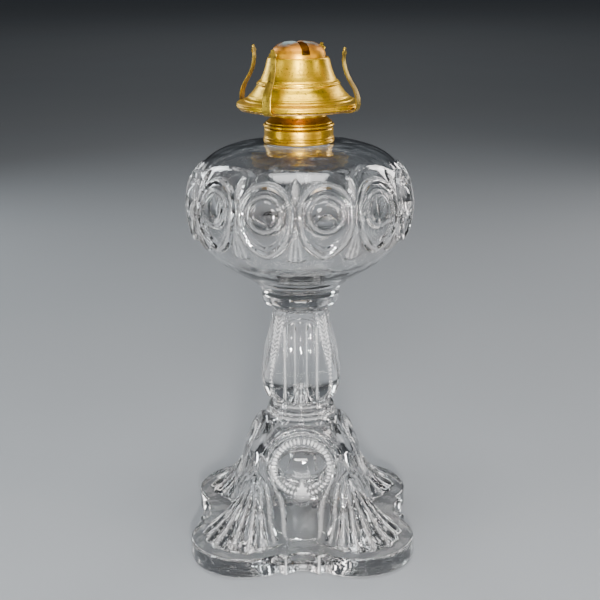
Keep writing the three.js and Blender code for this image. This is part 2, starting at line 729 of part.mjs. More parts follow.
function airPlate() {
  const slotX = tubeDepth / 2 + SEAT_GAP;
  const slotY = tubeWidth / 2 + SEAT_GAP;
  const slot = [[-slotX, -slotY], [slotX, -slotY], [slotX, slotY], [-slotX, slotY]];
  const holeReach = (THROAT_RADIUS + THROAT_LIP + plateRadius) / 2;
  const airHoles = circle(0, 0, holeReach, PLATE_HOLE_COUNT).map(
    (centre) => circle(centre.x, centre.y, PLATE_HOLE_RADIUS, HOLE_SIDES),
  );
  const holes = [
    slot.map(([x, y]) => new THREE.Vector2(x, y)),
    circle(ventX, 0, VENT_RADIUS + SEAT_GAP, LEAF_SEGMENTS),
    ...airHoles,
  ];
  const outline = circle(0, 0, plateRadius, RING_SEGMENTS);
  return geometryOf(solid(plate(outline, holes, PLATE_THICKNESS).translate(0, 0, plateZ)));
}

// The bell: rolled rim, flare, two steps, a bead and the drawn-in top
const coneShares = [
  [0.93, 0], [0.995, 0.04], [0.99, 0.12], [0.875, 0.155], [0.86, 0.2], [0.79, 0.235], [0.775, 0.29],
  [0.665, 0.465], [0.69, 0.495], [0.61, 0.56], [0.56, 0.72], [0.52, 0.87], [0.495, 0.985],
];
const coneInsideShares = [[0.495, 0.92], [0.54, 0.68], [0.63, 0.47], [0.76, 0.22], [0.9, 0.1]];

function burnerCone() {
  const outer = scaledProfile(coneShares, CONE_RADIUS, CONE_HEIGHT, coneZ);
  const inner = scaledProfile(coneInsideShares, CONE_RADIUS - SHEET, CONE_HEIGHT, coneZ);
  const [footRadius] = outer[0];
  const [topRadius] = outer[outer.length - 1];
  const profile = closed([
    ...outer, [topRadius - CONE_LIP, coneTopZ], [CONE_MOUTH_RADIUS, coneTopZ],
    [CONE_MOUTH_RADIUS, coneTopZ - SHEET], [topRadius - CONE_LIP, coneTopZ - SHEET],
    ...inner, [footRadius - SHEET, coneZ + SHEET], [footRadius - SHEET, coneZ],
  ]);
  return geometryOf(solid(turned(profile, RING_SEGMENTS)));
}

const domeShares = [[0.985, 0.32], [0.92, 0.55], [0.74, 0.8], [0.4, 0.96]];

function flameDome() {
  const outer = scaledProfile(domeShares, DOME_RADIUS, DOME_HEIGHT, domeZ);
  const inner = scaledProfile(domeShares, DOME_RADIUS - DOME_SHEET, DOME_HEIGHT - DOME_SHEET, domeZ);
  const flangeRadius = DOME_RADIUS + DOME_FLANGE + DOME_SHEET;
  const shell = solid(turned([
    [DOME_RADIUS - DOME_SHEET, domeZ], [flangeRadius, domeZ], [flangeRadius, domeZ + DOME_SHEET],
    [DOME_RADIUS, domeZ + DOME_SHEET], ...outer,
    [0, domeZ + DOME_HEIGHT], [0, domeZ + DOME_HEIGHT - DOME_SHEET],
    ...inner.reverse(), [DOME_RADIUS - DOME_SHEET, domeZ],
  ], SMALL_SEGMENTS));
  const [[, slotShare]] = domeShares;
  const slotZ = domeZ + DOME_HEIGHT * slotShare;
  const slot = new THREE.BoxGeometry(DOME_SLOT_WIDTH, DOME_SLOT_LENGTH, DOME_HEIGHT)
    .translate(0, 0, slotZ + DOME_HEIGHT / 2);
  return geometryOf(cut(shell, [solid(slot)]));
}

function boxBetween(x0, x1, y0, y1, z0, z1) {
  return solid(new THREE.BoxGeometry(x1 - x0, y1 - y0, z1 - z0)
    .translate((x0 + x1) / 2, (y0 + y1) / 2, (z0 + z1) / 2));
}

function wickTube() {
  const bottomZ = collarTopZ - TUBE_TAIL;
  const outer = boxBetween(-tubeDepth / 2, tubeDepth / 2, -tubeWidth / 2, tubeWidth / 2, bottomZ, tubeTopZ);
  const boreX = tubeDepth / 2 - TUBE_WALL;
  const boreY = tubeWidth / 2 - TUBE_WALL;
  const bore = boxBetween(-boreX, boreX, -boreY, boreY, bottomZ - OVERRUN, tubeTopZ + OVERRUN);
  const windowHalf = WHEEL_RADIUS - WHEEL_TOOTH;
  const windows = [-1, 0, 1].map((place) => boxBetween(
    0,
    tubeDepth,
    place * WHEEL_SPACING - WHEEL_THICKNESS,
    place * WHEEL_SPACING + WHEEL_THICKNESS,
    spindleZ - windowHalf,
    spindleZ + windowHalf,
  ));
  return geometryOf(cut(outer, [bore, ...windows]));
}

function ventTube() {
  const bottomZ = collarTopZ - TUBE_TAIL;
  const profile = ring(VENT_BORE_RADIUS, VENT_RADIUS, bottomZ, bottomZ + VENT_HEIGHT);
  return geometryOf(solid(turned(profile, LEAF_SEGMENTS).translate(ventX, 0, 0)));
}

function wick() {
  return geometryOf(boxBetween(
    -WICK_THICKNESS / 2,
    WICK_THICKNESS / 2,
    -WICK_WIDTH / 2,
    WICK_WIDTH / 2,
    collarTopZ - WICK_TAIL,
    tubeTopZ + WICK_RISE,
  ));
}

// Winder

const bracketY = -(3 / 2) * WHEEL_SPACING;

function wickSpindle() {
  const startY = bracketY - BRACKET_THICKNESS;
  const endY = knobY + KNOB_THICKNESS + SEAT_GAP + SHEET;
  return geometryOf(solid(cylinderAt(
    SPINDLE_RADIUS,
    endY - startY,
    SMALL_SEGMENTS / 2,
    spindleX,
    (startY + endY) / 2,
    spindleZ,
  )));
}

function spurWheel(place) {
  const outline = circle(0, 0, WHEEL_RADIUS, 2 * WHEEL_TEETH);
  outline.forEach((point, i) => {
    if (i % 2 === 1) {
      point.multiplyScalar(1 - WHEEL_TOOTH / WHEEL_RADIUS);
    }
  });
  const bore = circle(0, 0, spindleHoleRadius, LEAF_SEGMENTS);
  const wheel = plate(outline, [bore], WHEEL_THICKNESS)
    .rotateX(Math.PI / 2)
    .translate(spindleX, place * WHEEL_SPACING + WHEEL_THICKNESS / 2, spindleZ);
  return geometryOf(solid(wheel));
}

function spindleBracket() {
  const edge = spindleHoleRadius + BRACKET_MARGIN;
  const wallX = tubeDepth / 2 + SEAT_GAP;
  const upright = boxBetween(
    wallX,
    spindleX + edge,
    bracketY - BRACKET_THICKNESS / 2,
    bracketY + BRACKET_THICKNESS / 2,
    spindleZ - edge,
    spindleZ + edge,
  );
  return geometryOf(cut(upright, [spindleHole(spindleHoleRadius, COLLAR_RADIUS, bracketY)]));
}

function spindleFerrule() {
  const wallY = Math.sqrt(THROAT_RADIUS ** 2 - spindleX ** 2);
  const tube = turned(
    ring(spindleHoleRadius, spindleHoleRadius + FERRULE_WALL, 0, FERRULE_LENGTH),
    SMALL_SEGMENTS / 2,
  );
  return geometryOf(solid(tube.rotateX(-Math.PI / 2).translate(spindleX, wallY - FERRULE_WALL, spindleZ)));
}

function thumbKnob() {
  const rim = KNOB_RADIUS;
  const profile = [
    [KNOB_HUB_RADIUS, 0], [rim - KNOB_THICKNESS, KNOB_DISH], [rim - KNOB_NOTCH, 0],
    [rim, KNOB_THICKNESS / 2], [rim - KNOB_NOTCH, KNOB_THICKNESS],
    [spindleHoleRadius, KNOB_THICKNESS], [spindleHoleRadius, 0],
  ];
  const milled = movedPoints(turned(closed(profile), SMALL_SEGMENTS), (point) => {
    const radius = Math.hypot(point.x, point.y);
    const place = Math.round((Math.atan2(point.y, point.x) * SMALL_SEGMENTS) / (2 * Math.PI));
    if (radius < rim - KNOB_THICKNESS / 2 || Math.abs(place) % 2 === 0) {
      return;
    }
    point.x *= 1 - KNOB_NOTCH / radius;
    point.y *= 1 - KNOB_NOTCH / radius;
  });
  return geometryOf(solid(milled.rotateX(-Math.PI / 2).translate(spindleX, knobY, spindleZ)));
}

// Spring prongs: a strip from under the plate, round the rim and up, narrowing to a pierced trefoil

const prongPathShares = [
  [-0.9, 0], [0, 0.01], [0.25, 0.08], [0.28, 0.19], [0.2, 0.3], [0, 0.42], [-0.42, 0.63],
  [-0.66, 0.74], [-0.8, 0.86], [-0.76, 1],
];
const prongWidthShares = [1, 1, 1, 1, 0.96, 0.9, 0.8, 0.7, 0.62, 0.6];

function prongPoint(share) {
  const [outShare, upShare] = share;
  const bow = outShare < 0 && upShare === 0 ? PRONG_FOOT : PRONG_BOW;
  const reach = CONE_RADIUS + (PRONG_THICKNESS - PRONG_STAND_OFF) / 2;
  const footZ = plateZ - SEAT_GAP - PRONG_THICKNESS / 2;
  return new THREE.Vector2(reach + outShare * bow, footZ + upShare * PRONG_HEIGHT);
}

function chimneyProng() {
  const path = prongPathShares.map(prongPoint);
  const last = path.length - 1;
  const grid = new THREE.BoxGeometry(1, 1, 1, 1, last, 1);
  const strip = movedPoints(grid, (point) => {
    const row = Math.round((point.y + 1 / 2) * last);
    const along = path[Math.min(row + 1, last)].clone().sub(path[Math.max(row - 1, 0)]).normalize();
    const out = point.z * PRONG_THICKNESS;
    const width = point.x * PRONG_WIDTH * prongWidthShares[row];
    point.set(path[row].x - along.y * out, width, path[row].y + along.x * out);
  });
  const tip = path[last];
  const lean = Math.atan2(tip.x - path[last - 1].x, tip.y - path[last - 1].y);
  const lobes = [[-TREFOIL_SPREAD, 0], [TREFOIL_SPREAD, 0], [0, TREFOIL_SPREAD * Math.sqrt(3)]];
  const leaves = lobes.map(([across, up]) => solid(
    plate(circle(across, up, TREFOIL_RADIUS, HOLE_SIDES), [], PRONG_THICKNESS),
  ));
  const eyelet = solid(cylinderAt(TREFOIL_HOLE_RADIUS, 2 * OVERRUN, HOLE_SIDES, 0, 0, 0)
    .rotateX(Math.PI / 2)
    .translate(0, TREFOIL_SPREAD / Math.sqrt(3), 0));
  const trefoil = geometryOf(cut(joined(leaves), [eyelet]))
    .translate(0, 0, -PRONG_THICKNESS / 2)
    .rotateX(Math.PI / 2)
    .rotateZ(Math.PI / 2)
    .rotateY(lean)
    .translate(tip.x, 0, tip.y);
  return joined([solid(strip), solid(trefoil)]);
}

// Materials

function material(color, roughness, metalness, extra = {}) {
  return new THREE.MeshStandardMaterial({ color, roughness, metalness, ...extra });
}

const glass = () => material(0xdfe8ea, 0.06, 0, { transparent: true, opacity: 0.35 });
const brass = () => material(0xc9992e, 0.32, 1);
const darkBrass = () => material(0x9a6f24, 0.45, 1);
const heatedCopper = () => material(0xb06a36, 0.35, 1);
const plaster = () => material(0xd9d2c0, 0.9, 0);
const wickCloth = () => material(0x4a3c30, 0.95, 0);

// Assembly

const lamp = new THREE.Group();
const burner = new THREE.Group();
burner.rotation.z = BURNER_TURN;
lamp.add(burner);

function place(parent, name, geometry, look) {
  const mesh = new THREE.Mesh(geometry, look);
  mesh.name = name;
  parent.add(mesh);
  return mesh;
}

place(lamp, 'glass_pedestal', glassPedestal(), glass());
place(lamp, 'joining_wafer', joiningWafer(), glass());
place(lamp, 'glass_font', glassFont(), glass());
place(lamp, 'collar_cement', collarCement(), plaster());
place(lamp, 'brass_collar', brassCollar(), brass());
place(burner, 'burner_screw', burnerScrew(), darkBrass());
place(burner, 'burner_base', burnerBase(), brass());
place(burner, 'air_plate', airPlate(), darkBrass());
place(burner, 'burner_cone', burnerCone(), brass());
place(burner, 'flame_dome', flameDome(), heatedCopper());
place(burner, 'wick_tube', wickTube(), darkBrass());
place(burner, 'vent_tube', ventTube(), darkBrass());
place(burner, 'wick', wick(), wickCloth());
place(burner, 'wick_spindle', wickSpindle(), darkBrass());
[-1, 0, 1].forEach((step, i) => place(burner, `spur_wheel_${i + 1}`, spurWheel(step), darkBrass()));
place(burner, 'spindle_bracket', spindleBracket(), darkBrass());
place(burner, 'spindle_ferrule', spindleFerrule(), brass());
place(burner, 'thumb_knob', thumbKnob(), brass());

const prong = geometryOf(chimneyProng());
for (let i = 0; i < PRONG_COUNT; i += 1) {
  const mesh = place(burner, `chimney_prong_${i + 1}`, prong, brass());
  mesh.rotation.z = ((2 * i + 1) * Math.PI) / PRONG_COUNT;
}

export default lamp;
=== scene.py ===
# Looks of the pressed-glass stand lamp, in metres, +Z up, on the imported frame.
# Shapes are worked out in millimetres, as the part's own sizes are, and scaled by MM when a mesh is made.

import math

import bpy
import numpy as np
from mathutils import Matrix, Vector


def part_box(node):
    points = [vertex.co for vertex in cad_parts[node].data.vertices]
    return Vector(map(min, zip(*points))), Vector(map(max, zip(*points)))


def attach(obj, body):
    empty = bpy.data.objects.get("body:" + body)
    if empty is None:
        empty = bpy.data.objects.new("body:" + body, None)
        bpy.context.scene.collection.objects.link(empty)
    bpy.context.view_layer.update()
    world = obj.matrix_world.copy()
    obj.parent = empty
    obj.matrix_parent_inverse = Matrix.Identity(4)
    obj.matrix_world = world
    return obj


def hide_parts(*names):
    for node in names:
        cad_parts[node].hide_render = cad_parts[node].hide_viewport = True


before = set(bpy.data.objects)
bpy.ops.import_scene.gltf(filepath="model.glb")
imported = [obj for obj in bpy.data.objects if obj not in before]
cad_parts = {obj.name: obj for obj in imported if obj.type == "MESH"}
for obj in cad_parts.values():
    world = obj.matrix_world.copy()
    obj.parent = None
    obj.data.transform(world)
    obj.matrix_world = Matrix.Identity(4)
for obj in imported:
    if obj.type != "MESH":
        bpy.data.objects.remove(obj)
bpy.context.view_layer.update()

MM = 0.001
TURN = 2 * math.pi
QUARTER = TURN / 4


# Camera at the photograph's viewing angle

CAMERA_DISTANCE = 0.6654
CAMERA_HEIGHT = 0.3479
CAMERA_PITCH = math.radians(16.65)
CAMERA_ROLL = math.radians(0.5)
CAMERA_OFFSET = 0.0015
FOCAL_LENGTH = 69.66
SENSOR_WIDTH = 36.0


def make_camera():
    data = bpy.data.cameras.new("camera")
    data.sensor_width = SENSOR_WIDTH
    data.lens = FOCAL_LENGTH
    camera = bpy.data.objects.new("camera", data)
    camera.location = (CAMERA_OFFSET, -CAMERA_DISTANCE, CAMERA_HEIGHT)
    camera.rotation_euler = (math.pi / 2 - CAMERA_PITCH, CAMERA_ROLL, 0)
    bpy.context.scene.collection.objects.link(camera)
    bpy.context.scene.camera = camera


make_camera()


# Lines and surfaces

def smooth_step(value, low, high):
    share = np.clip((value - low) / (high - low), 0, 1)
    return share * share * (3 - 2 * share)


def window(value, rise_from, rise_to, fall_from, fall_to):
    """1 in the middle of a range, with smooth slopes to 0 at both of its ends."""
    return smooth_step(value, rise_from, rise_to) * smooth_step(-value, -fall_to, -fall_from)


def smooth_max(a, b, softness):
    return (a + b + np.sqrt((a - b) ** 2 + softness ** 2)) / 2


def round_ridge(offset, half_width, height=1):
    """A half-round ridge, its crest where offset is 0."""
    return height * np.sqrt(np.clip(1 - (offset / half_width) ** 2, 0, 1))


def run_lengths(line):
    steps = np.sqrt((np.diff(line, axis=0) ** 2).sum(axis=1))
    return np.concatenate([[0], np.cumsum(steps)])


def resampled(line, places):
    run = run_lengths(line)
    return np.stack([np.interp(places, run, column) for column in line.T], axis=1)


def evenly(line, spacing):
    length = run_lengths(line)[-1]
    return resampled(line, np.linspace(0, length, max(2, round(length / spacing) + 1)))


def curve_through(points, spacing):
    """A smooth line through the points, in even steps."""
    knots = np.array(points, float)
    knots = np.vstack([2 * knots[0] - knots[1], knots, 2 * knots[-1] - knots[-2]])
    t = np.linspace(0, 1, 16, endpoint=False)[:, None]
    parts = []
    for a, b, c, d in zip(knots, knots[1:], knots[2:], knots[3:]):
        parts.append(b + (c - a) * t / 2 + (a - 2.5 * b + 2 * c - d / 2) * t ** 2
                     + (1.5 * (b - c) + (d - a) / 2) * t ** 3)
    return evenly(np.vstack(parts + [knots[-2:-1]]), spacing)


def filleted(points, radius, steps=4, closed=False):
    """The same line with its corners rounded."""
    knots = [np.array(point, float) for point in points]
    if closed:
        knots = [knots[-1]] + knots + [knots[0]]
    t = np.linspace(0, 1, steps + 1)[:, None]
    parts = []
    for before, corner, after in zip(knots, knots[1:], knots[2:]):
        back, on = before - corner, after - corner
        start = corner + back * min(radius / np.linalg.norm(back), 0.45)
        end = corner + on * min(radius / np.linalg.norm(on), 0.45)
        parts.append((1 - t) ** 2 * start + 2 * t * (1 - t) * corner + t ** 2 * end)
    return np.vstack(parts if closed else [knots[0], *parts, knots[-1]])


def directions_along(line):
    tangent = np.gradient(line, axis=0)
    return tangent / np.linalg.norm(tangent, axis=1)[:, None]


def blurred(values):
    """Evens out a ring of rows along both of its directions, its first and last rows kept."""
    values = (np.roll(values, 1, axis=1) + 2 * values + np.roll(values, -1, axis=1)) / 4
    inner = (values[:-2] + 2 * values[1:-1] + values[2:]) / 4
    return np.concatenate([values[:1], inner, values[-1:]])


def angles_round(count):
    return np.arange(count) * TURN / count


def polar(radius, angle, height):
    """Points at a radius, an angle about the Z axis and a height."""
    return np.stack(np.broadcast_arrays(radius * np.cos(angle), radius * np.sin(angle), height), axis=-1)


def rows_at(profile, angles):
    """The rings of a [radius, height] line turned about the Z axis, one point at each angle."""
    profile = np.array(profile, float)
    return polar(profile[:, :1], angles, profile[:, 1:])


def turned_rows(profile, columns):
    return rows_at(profile, angles_round(columns))


def spun(points, angle):
    """The points turned about the Z axis."""
    c, s = math.cos(angle), math.sin(angle)
    x, y, z = np.moveaxis(np.asarray(points, float), -1, 0)
    return np.stack([x * c - y * s, x * s + y * c, z], axis=-1)


def squared(angle, power):
    """The stretch from a round section towards a rounded square; power 2 leaves it round."""
    c, s = np.abs(np.cos(angle)), np.abs(np.sin(angle))
    return 1 / (c ** power + s ** power) ** (1 / power)


def link(name, mesh, material):
    piece = bpy.data.objects.new(name, mesh)
    bpy.context.scene.collection.objects.link(piece)
    mesh.materials.append(material)
    return piece


def mesh_of(name, points, faces, smooth=True):
    """points are in millimetres; faces is a list of arrays, each with one face a row."""
    mesh = bpy.data.meshes.new(name)
    mesh.from_pydata(np.asarray(points) * MM, [], [face for rows in faces for face in rows.tolist()])
    mesh.polygons.foreach_set("use_smooth", np.full(len(mesh.polygons), smooth))
    mesh.validate()
    return mesh


def ring_mesh(name, rows, ends=None):
    """A mesh of rings that run up its outer wall, closed by two end points or else from last to first."""
    count, columns, _ = rows.shape
    number = np.arange(count * columns).reshape(count, columns)
    if ends is None:
        number = np.vstack([number, number[:1]])
    ahead = np.roll(number, -1, axis=1)
    points = [rows.reshape(-1, 3)]
    faces = [np.stack([number[:-1], ahead[:-1], ahead[1:], number[1:]], axis=-1).reshape(-1, 4)]
    if ends is not None:
        points.append(np.array(ends, float))
        first = np.full(columns, count * columns)
        faces.append(np.stack([first, ahead[0], number[0]], axis=-1))
        faces.append(np.stack([number[-1], ahead[-1], first + 1], axis=-1))
    return mesh_of(name, np.vstack(points), faces)


def finished(piece, body, replaced):
    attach(piece, body)
    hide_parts(replaced)
    return piece


# Materials

class Look:
    """The nodes of a material or of the world, with one call for each kind in use."""

    def __init__(self, name, kind=bpy.data.materials):
        self.owner = kind.new(name)
        self.owner.use_nodes = True
        self.tree = self.owner.node_tree

    def fill(self, node, values):
        """Gives a node's sockets numbers, colours, vectors or other nodes' outputs."""
        for name, value in values.items():
            socket = node.inputs[name]
            if isinstance(value, bpy.types.NodeSocket):
                self.tree.links.new(value, socket)
            elif isinstance(value, (int, float)):
                socket.default_value = value
            else:
                socket.default_value = (*value, 1)[:len(socket.default_value)]

    def add(self, kind, output, values, **settings):
        """Adds a node and returns one of its outputs, by name or number."""
        node = self.tree.nodes.new(kind)
        for key, value in settings.items():
            setattr(node, key, value)
        self.fill(node, values)
        return node.outputs[output]

    def shaded(self, values, shader="Principled BSDF"):
        """Sets the sockets of the shader that is there from the start, and returns the finished look."""
        self.fill(self.tree.nodes[shader], values)
        return self.owner

    def place(self):
        """The place in the piece's own coordinates, in metres."""
        return self.add("ShaderNodeTexCoord", "Object", {})

    def height(self):
        return self.add("ShaderNodeSeparateXYZ", "Z", {"Vector": self.place()})

    def noise(self, scale, detail=4.0, roughness=0.55, stretch=None):
        """Noise in space; scale is lumps to the metre."""
        place = self.place()
        if stretch is not None:
            place = self.add("ShaderNodeMapping", "Vector", {"Vector": place, "Scale": stretch})
        return self.add("ShaderNodeTexNoise", "Fac", {
            "Vector": place, "Scale": scale, "Detail": detail, "Roughness": roughness,
        })

    def ramp(self, value, stops):
        """A colour for each value; stops is a list of (value, colour)."""
        node = self.tree.nodes.new("ShaderNodeValToRGB")
        elements = node.color_ramp.elements
        while len(elements) < len(stops):
            elements.new(0.5)
        for element, (position, colour) in zip(elements, stops):
            element.position = position
            element.color = (*colour, 1)
        self.fill(node, {"Fac": value})
        return node.outputs["Color"]

    def ranged(self, value, low, high, to_low, to_high):
        """A value carried from one range to another."""
        return self.add("ShaderNodeMapRange", "Result", {
            "Value": value, "From Min": low, "From Max": high, "To Min": to_low, "To Max": to_high,
        })

    def maths(self, operation, first, second):
        return self.add("ShaderNodeMath", 0, {0: first, 1: second}, operation=operation)

    def mixed(self, factor, first, second):
        return self.add("ShaderNodeMix", 2, {0: factor, 6: first, 7: second}, data_type="RGBA")

    def bump(self, height, strength, distance, before=None):
        """A normal from a height. It starts from the normal before, where one is given."""
        values = {"Height": height, "Strength": strength, "Distance": distance}
        if before is not None:
            values["Normal"] = before
        return self.add("ShaderNodeBump", "Normal", values)


GLASS_IOR = 1.51
FROST_AND_GLINT = "frost_and_glint"
FROST_AND_GLINT_MILK = 0.5


def mark_frost_and_glint(mesh, amounts):
    """Marks how finely stippled or worn each point of a glass surface is, and where highlights are painted, 0
    to 1.
    """
    amounts = np.asarray(amounts, np.float32).ravel()
    values = np.zeros(len(mesh.vertices), np.float32)
    values[:len(amounts)] = amounts
    mesh.attributes.new(FROST_AND_GLINT, "FLOAT", "POINT").data.foreach_set("value", values)


def clear_glass():
    """Pressed glass: wavy and a little worn, with faint warm and cool patches of colour that paint tinted
    reflections, and milky where the frost mask marks stipple, wear and painted highlights.
    """
    look = Look("clear_pressed_glass")
    frost_and_glint = look.add("ShaderNodeAttribute", "Fac", {}, attribute_name=FROST_AND_GLINT)
    waves = look.bump(look.noise(75, 1.0), 0.35, 0.0012)
    return look.shaded({
        "IOR": GLASS_IOR,
        # The frost mask makes the glass milky white: real stipple and wear in a few places, painted
        # highlights on crests and beads elsewhere.
        "Transmission Weight": look.ranged(frost_and_glint, 0, 1, 1, 1 - FROST_AND_GLINT_MILK),
        # Painted reflection: faint warm and cool patches in the colour stand in for tinted reflections in the
        # glass.
        "Base Color": look.ramp(look.noise(28, 2.0), [
            (0.3, (0.97, 0.985, 0.98)), (0.5, (1, 1, 1)), (0.68, (1, 0.965, 0.94)),
        ]),
        "Roughness": look.ranged(look.noise(90, 6.0, 0.7), 0.45, 0.8, 0.0, 0.09),
        "Normal": look.bump(look.noise(420, 2.0), 0.12, 0.0003, waves),
    })


def sheet_brass(name, gold, brown, dirt, roughness, tarnish=0.5):
    """Sheet brass with brown clouds, brown streaks round the piece, specks of dirt and shallow dents."""
    look = Look(name)
    clouds = look.noise(70, 5.0, 0.6)
    streaks = look.noise(110, 4.0, 0.65, (0.35, 0.35, 3.5))
    specks = look.noise(700, 4.0, 0.7)
    colour = look.ramp(clouds, [(0.3, brown), (tarnish, gold), (0.75, gold)])
    colour = look.mixed(look.ranged(streaks, 0.5, 0.72, 0, 0.8), colour, brown)
    colour = look.mixed(look.ranged(specks, 0.57, 0.66, 0, 0.9), colour, dirt)
    dents = look.bump(look.noise(130, 2.0), 0.25, 0.0008)
    return look.shaded({
        "Metallic": 1.0,
        "Base Color": colour,
        "Roughness": look.ranged(clouds, 0.3, 0.7, roughness[1], roughness[0]),
        "Normal": look.bump(specks, 0.12, 0.0002, dents),
    })


def heated_brass(low_z, high_z):
    """Brass coloured by the flame: orange at its foot, copper-brown above; the pale bluish patches at the
    crown are a painted glint.
    """
    look = Look("flame_coloured_brass")
    rise = look.ranged(look.height(), low_z, high_z, 0, 1)
    wander = look.ranged(look.noise(120, 4.0), 0.2, 0.8, -0.18, 0.18)
    colour = look.ramp(look.maths("ADD", rise, wander), [
        (0.0, (0.8, 0.42, 0.01)), (0.45, (0.68, 0.29, 0.01)), (0.75, (0.45, 0.17, 0.015)),
        (1.0, (0.36, 0.18, 0.06)),
    ])
    # Painted glint: pale bluish patches near the crown stand in for a highlight.
    pale = look.ranged(look.noise(60, 3.0), 0.5, 0.62, 0, 1)
    crown = look.ranged(rise, 0.72, 0.95, 0, 1)
    colour = look.mixed(look.maths("MULTIPLY", pale, crown), colour, (0.5, 0.66, 0.66))
    soot = look.ranged(look.noise(300, 5.0, 0.7), 0.55, 0.75, 0, 0.7)
    return look.shaded({
        "Metallic": 1.0,
        "Base Color": look.mixed(soot, colour, (0.1, 0.07, 0.06)),
        "Roughness": look.ranged(look.noise(200, 3.0), 0.3, 0.7, 0.34, 0.55),
        "Normal": look.bump(look.noise(500, 4.0), 0.15, 0.0003),
    })


def plaster():
    look = Look("plaster_of_paris")
    grain = look.noise(1500, 6.0, 0.7)
    return look.shaded({
        "Base Color": look.ramp(grain, [(0.3, (0.45, 0.38, 0.28)), (0.7, (0.72, 0.66, 0.54))]),
        "Roughness": 0.9,
        "Normal": look.bump(grain, 0.5, 0.0003),
    })


def wick_cloth(char_low, char_high):
    """Woven cotton, oily brown, charred towards its top."""
    look = Look("woven_wick")
    threads = look.add("ShaderNodeTexWave", "Fac", {"Vector": look.place(), "Scale": 420, "Distortion": 1.5})
    char = look.ranged(look.height(), char_low, char_high, 0, 1)
    cotton = look.ramp(threads, [(0.2, (0.25, 0.17, 0.1)), (0.8, (0.5, 0.38, 0.24))])
    return look.shaded({
        "Base Color": look.mixed(char, cotton, (0.02, 0.015, 0.012)),
        "Roughness": 0.95,
        "Normal": look.bump(threads, 0.6, 0.0004),
    })


dome_low, dome_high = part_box("flame_dome")
wick_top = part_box("wick")[1].z

GLASS = clear_glass()
BRASS = sheet_brass(
    "golden_brass", gold=(0.84, 0.52, 0.012), brown=(0.52, 0.27, 0.008), dirt=(0.2, 0.11, 0.02),
    roughness=(0.28, 0.46),
)
COLLAR_BRASS = sheet_brass(
    "worn_brass", gold=(0.72, 0.42, 0.012), brown=(0.3, 0.15, 0.008), dirt=(0.07, 0.04, 0.015),
    roughness=(0.28, 0.5), tarnish=0.6,
)
SPRING_BRASS = sheet_brass(
    "spring_brass", gold=(0.6, 0.4, 0.04), brown=(0.17, 0.1, 0.015), dirt=(0.04, 0.028, 0.015),
    roughness=(0.3, 0.52), tarnish=0.66,
)
DARK_BRASS = sheet_brass(
    "dull_brass", gold=(0.45, 0.28, 0.08), brown=(0.2, 0.12, 0.04), dirt=(0.06, 0.04, 0.02),
    roughness=(0.35, 0.6),
)
HEATED = heated_brass(dome_low.z, dome_high.z)
PLASTER = plaster()
WICK = wick_cloth(wick_top - 0.004, wick_top - 0.001)


# Glass pedestal: one closed surface, from the hollow's tip down its wall, round the rim and up the stem

SIDE_STEP = math.radians(0.55)
CORNER_STEP = math.radians(1.05)
SIDE_REACH = math.radians(29)
LOBE_RADIUS = 33.5
NOTCH_SPREAD = 13.5
CUSP_SPREAD = 9.6
CUSP_RISE = 3.6
SCALLOP_DEPTH = 5.1
RIM_HEIGHT = 12.4
RIM_INSET = 1.7
FOOT_BEVEL = 1.6
RIM_EDGE = [
    (1.4, 0.05), (0.8, 0.3), (0.3, 0.8), (0.05, 1.5), (0, 2.2), (0.12, 3.2), (0.14, 6), (0.1, 9.2), (0, 10.3),
    (0.15, 11.2), (0.5, 11.9), (1.0, 12.25),
]
STEM_TOP_Z = 145.8
HOLLOW = [
    (0.8, 98.5), (5.0, 94), (10.1, 81.2), (17.3, 67.3), (25.2, 51.5), (30.2, 33.7), (34.2, 13.9), (36, 0),
]
HOLLOW_TIP_Z = 99
HOLLOW_SPACING = 5
HOLLOW_SQUARE_BELOW = 69.3
HOLLOW_SQUARENESS = 1.6
UNDERSIDE_SHARES = (0.02, 0.35, 0.7, 0.98)
SKIRT = [(43, 12.4), (40.8, 25.6), (37, 40.1), (32.2, 53.3), (27, 65.2), (21.2, 78.4)]
SHELL_HUB = (36.2, 53.5)
SHELL_FOOT_Z = 12.0
SHELL_FALL = 1.6
RIB_ANGLES = [0, 17, 34, 49, 66, 86, 101]
RIB_REACHES = [38.5, 37, 36, 32.5, 28.5, 26.4, 24.8]
NEXT_RIB = 14
RIB_POINT = 3.2
END_SLOPE = 0.8
STEEPEST = -4.5
RIB_DEPTH = 2.9
RIB_START = 3.0
RIB_GROWTH = 0.19
RIB_CREST_GLINT = 0.35
MEDALLION_CENTRE = np.array([0, -31.9, 57.0])
MEDALLION_TILT = math.radians(17)
STONE_HALF = (14.5, 9.6)
BEAD_CENTRE = -2.6
BEAD_HALF = (16.7, 15.4)
BEAD_COUNT = 45
BEAD_FILL = 0.46
LOW_BEAD_HALF = (13.2, 12.0)
LOW_BEAD_COUNT = 34
LOW_BEAD_LENGTH = 2.8
ARCH_HALF = (24.2, 21.3)
MEDALLION_BEND = 0.15
DROP_TOP_Z = 48.2
DROP_WIDE_Z = 37.4
DROP_BOTTOM_Z = 33.0
DROP_HALF_WIDTH = 5.4
DROP_EDGE = 1.6
DROP_DEPTH = 1.8


def off_side(angle):
    """The angle from the middle of the nearest of the foot's four sides."""
    return np.abs((angle + QUARTER / 2) % QUARTER - QUARTER / 2)


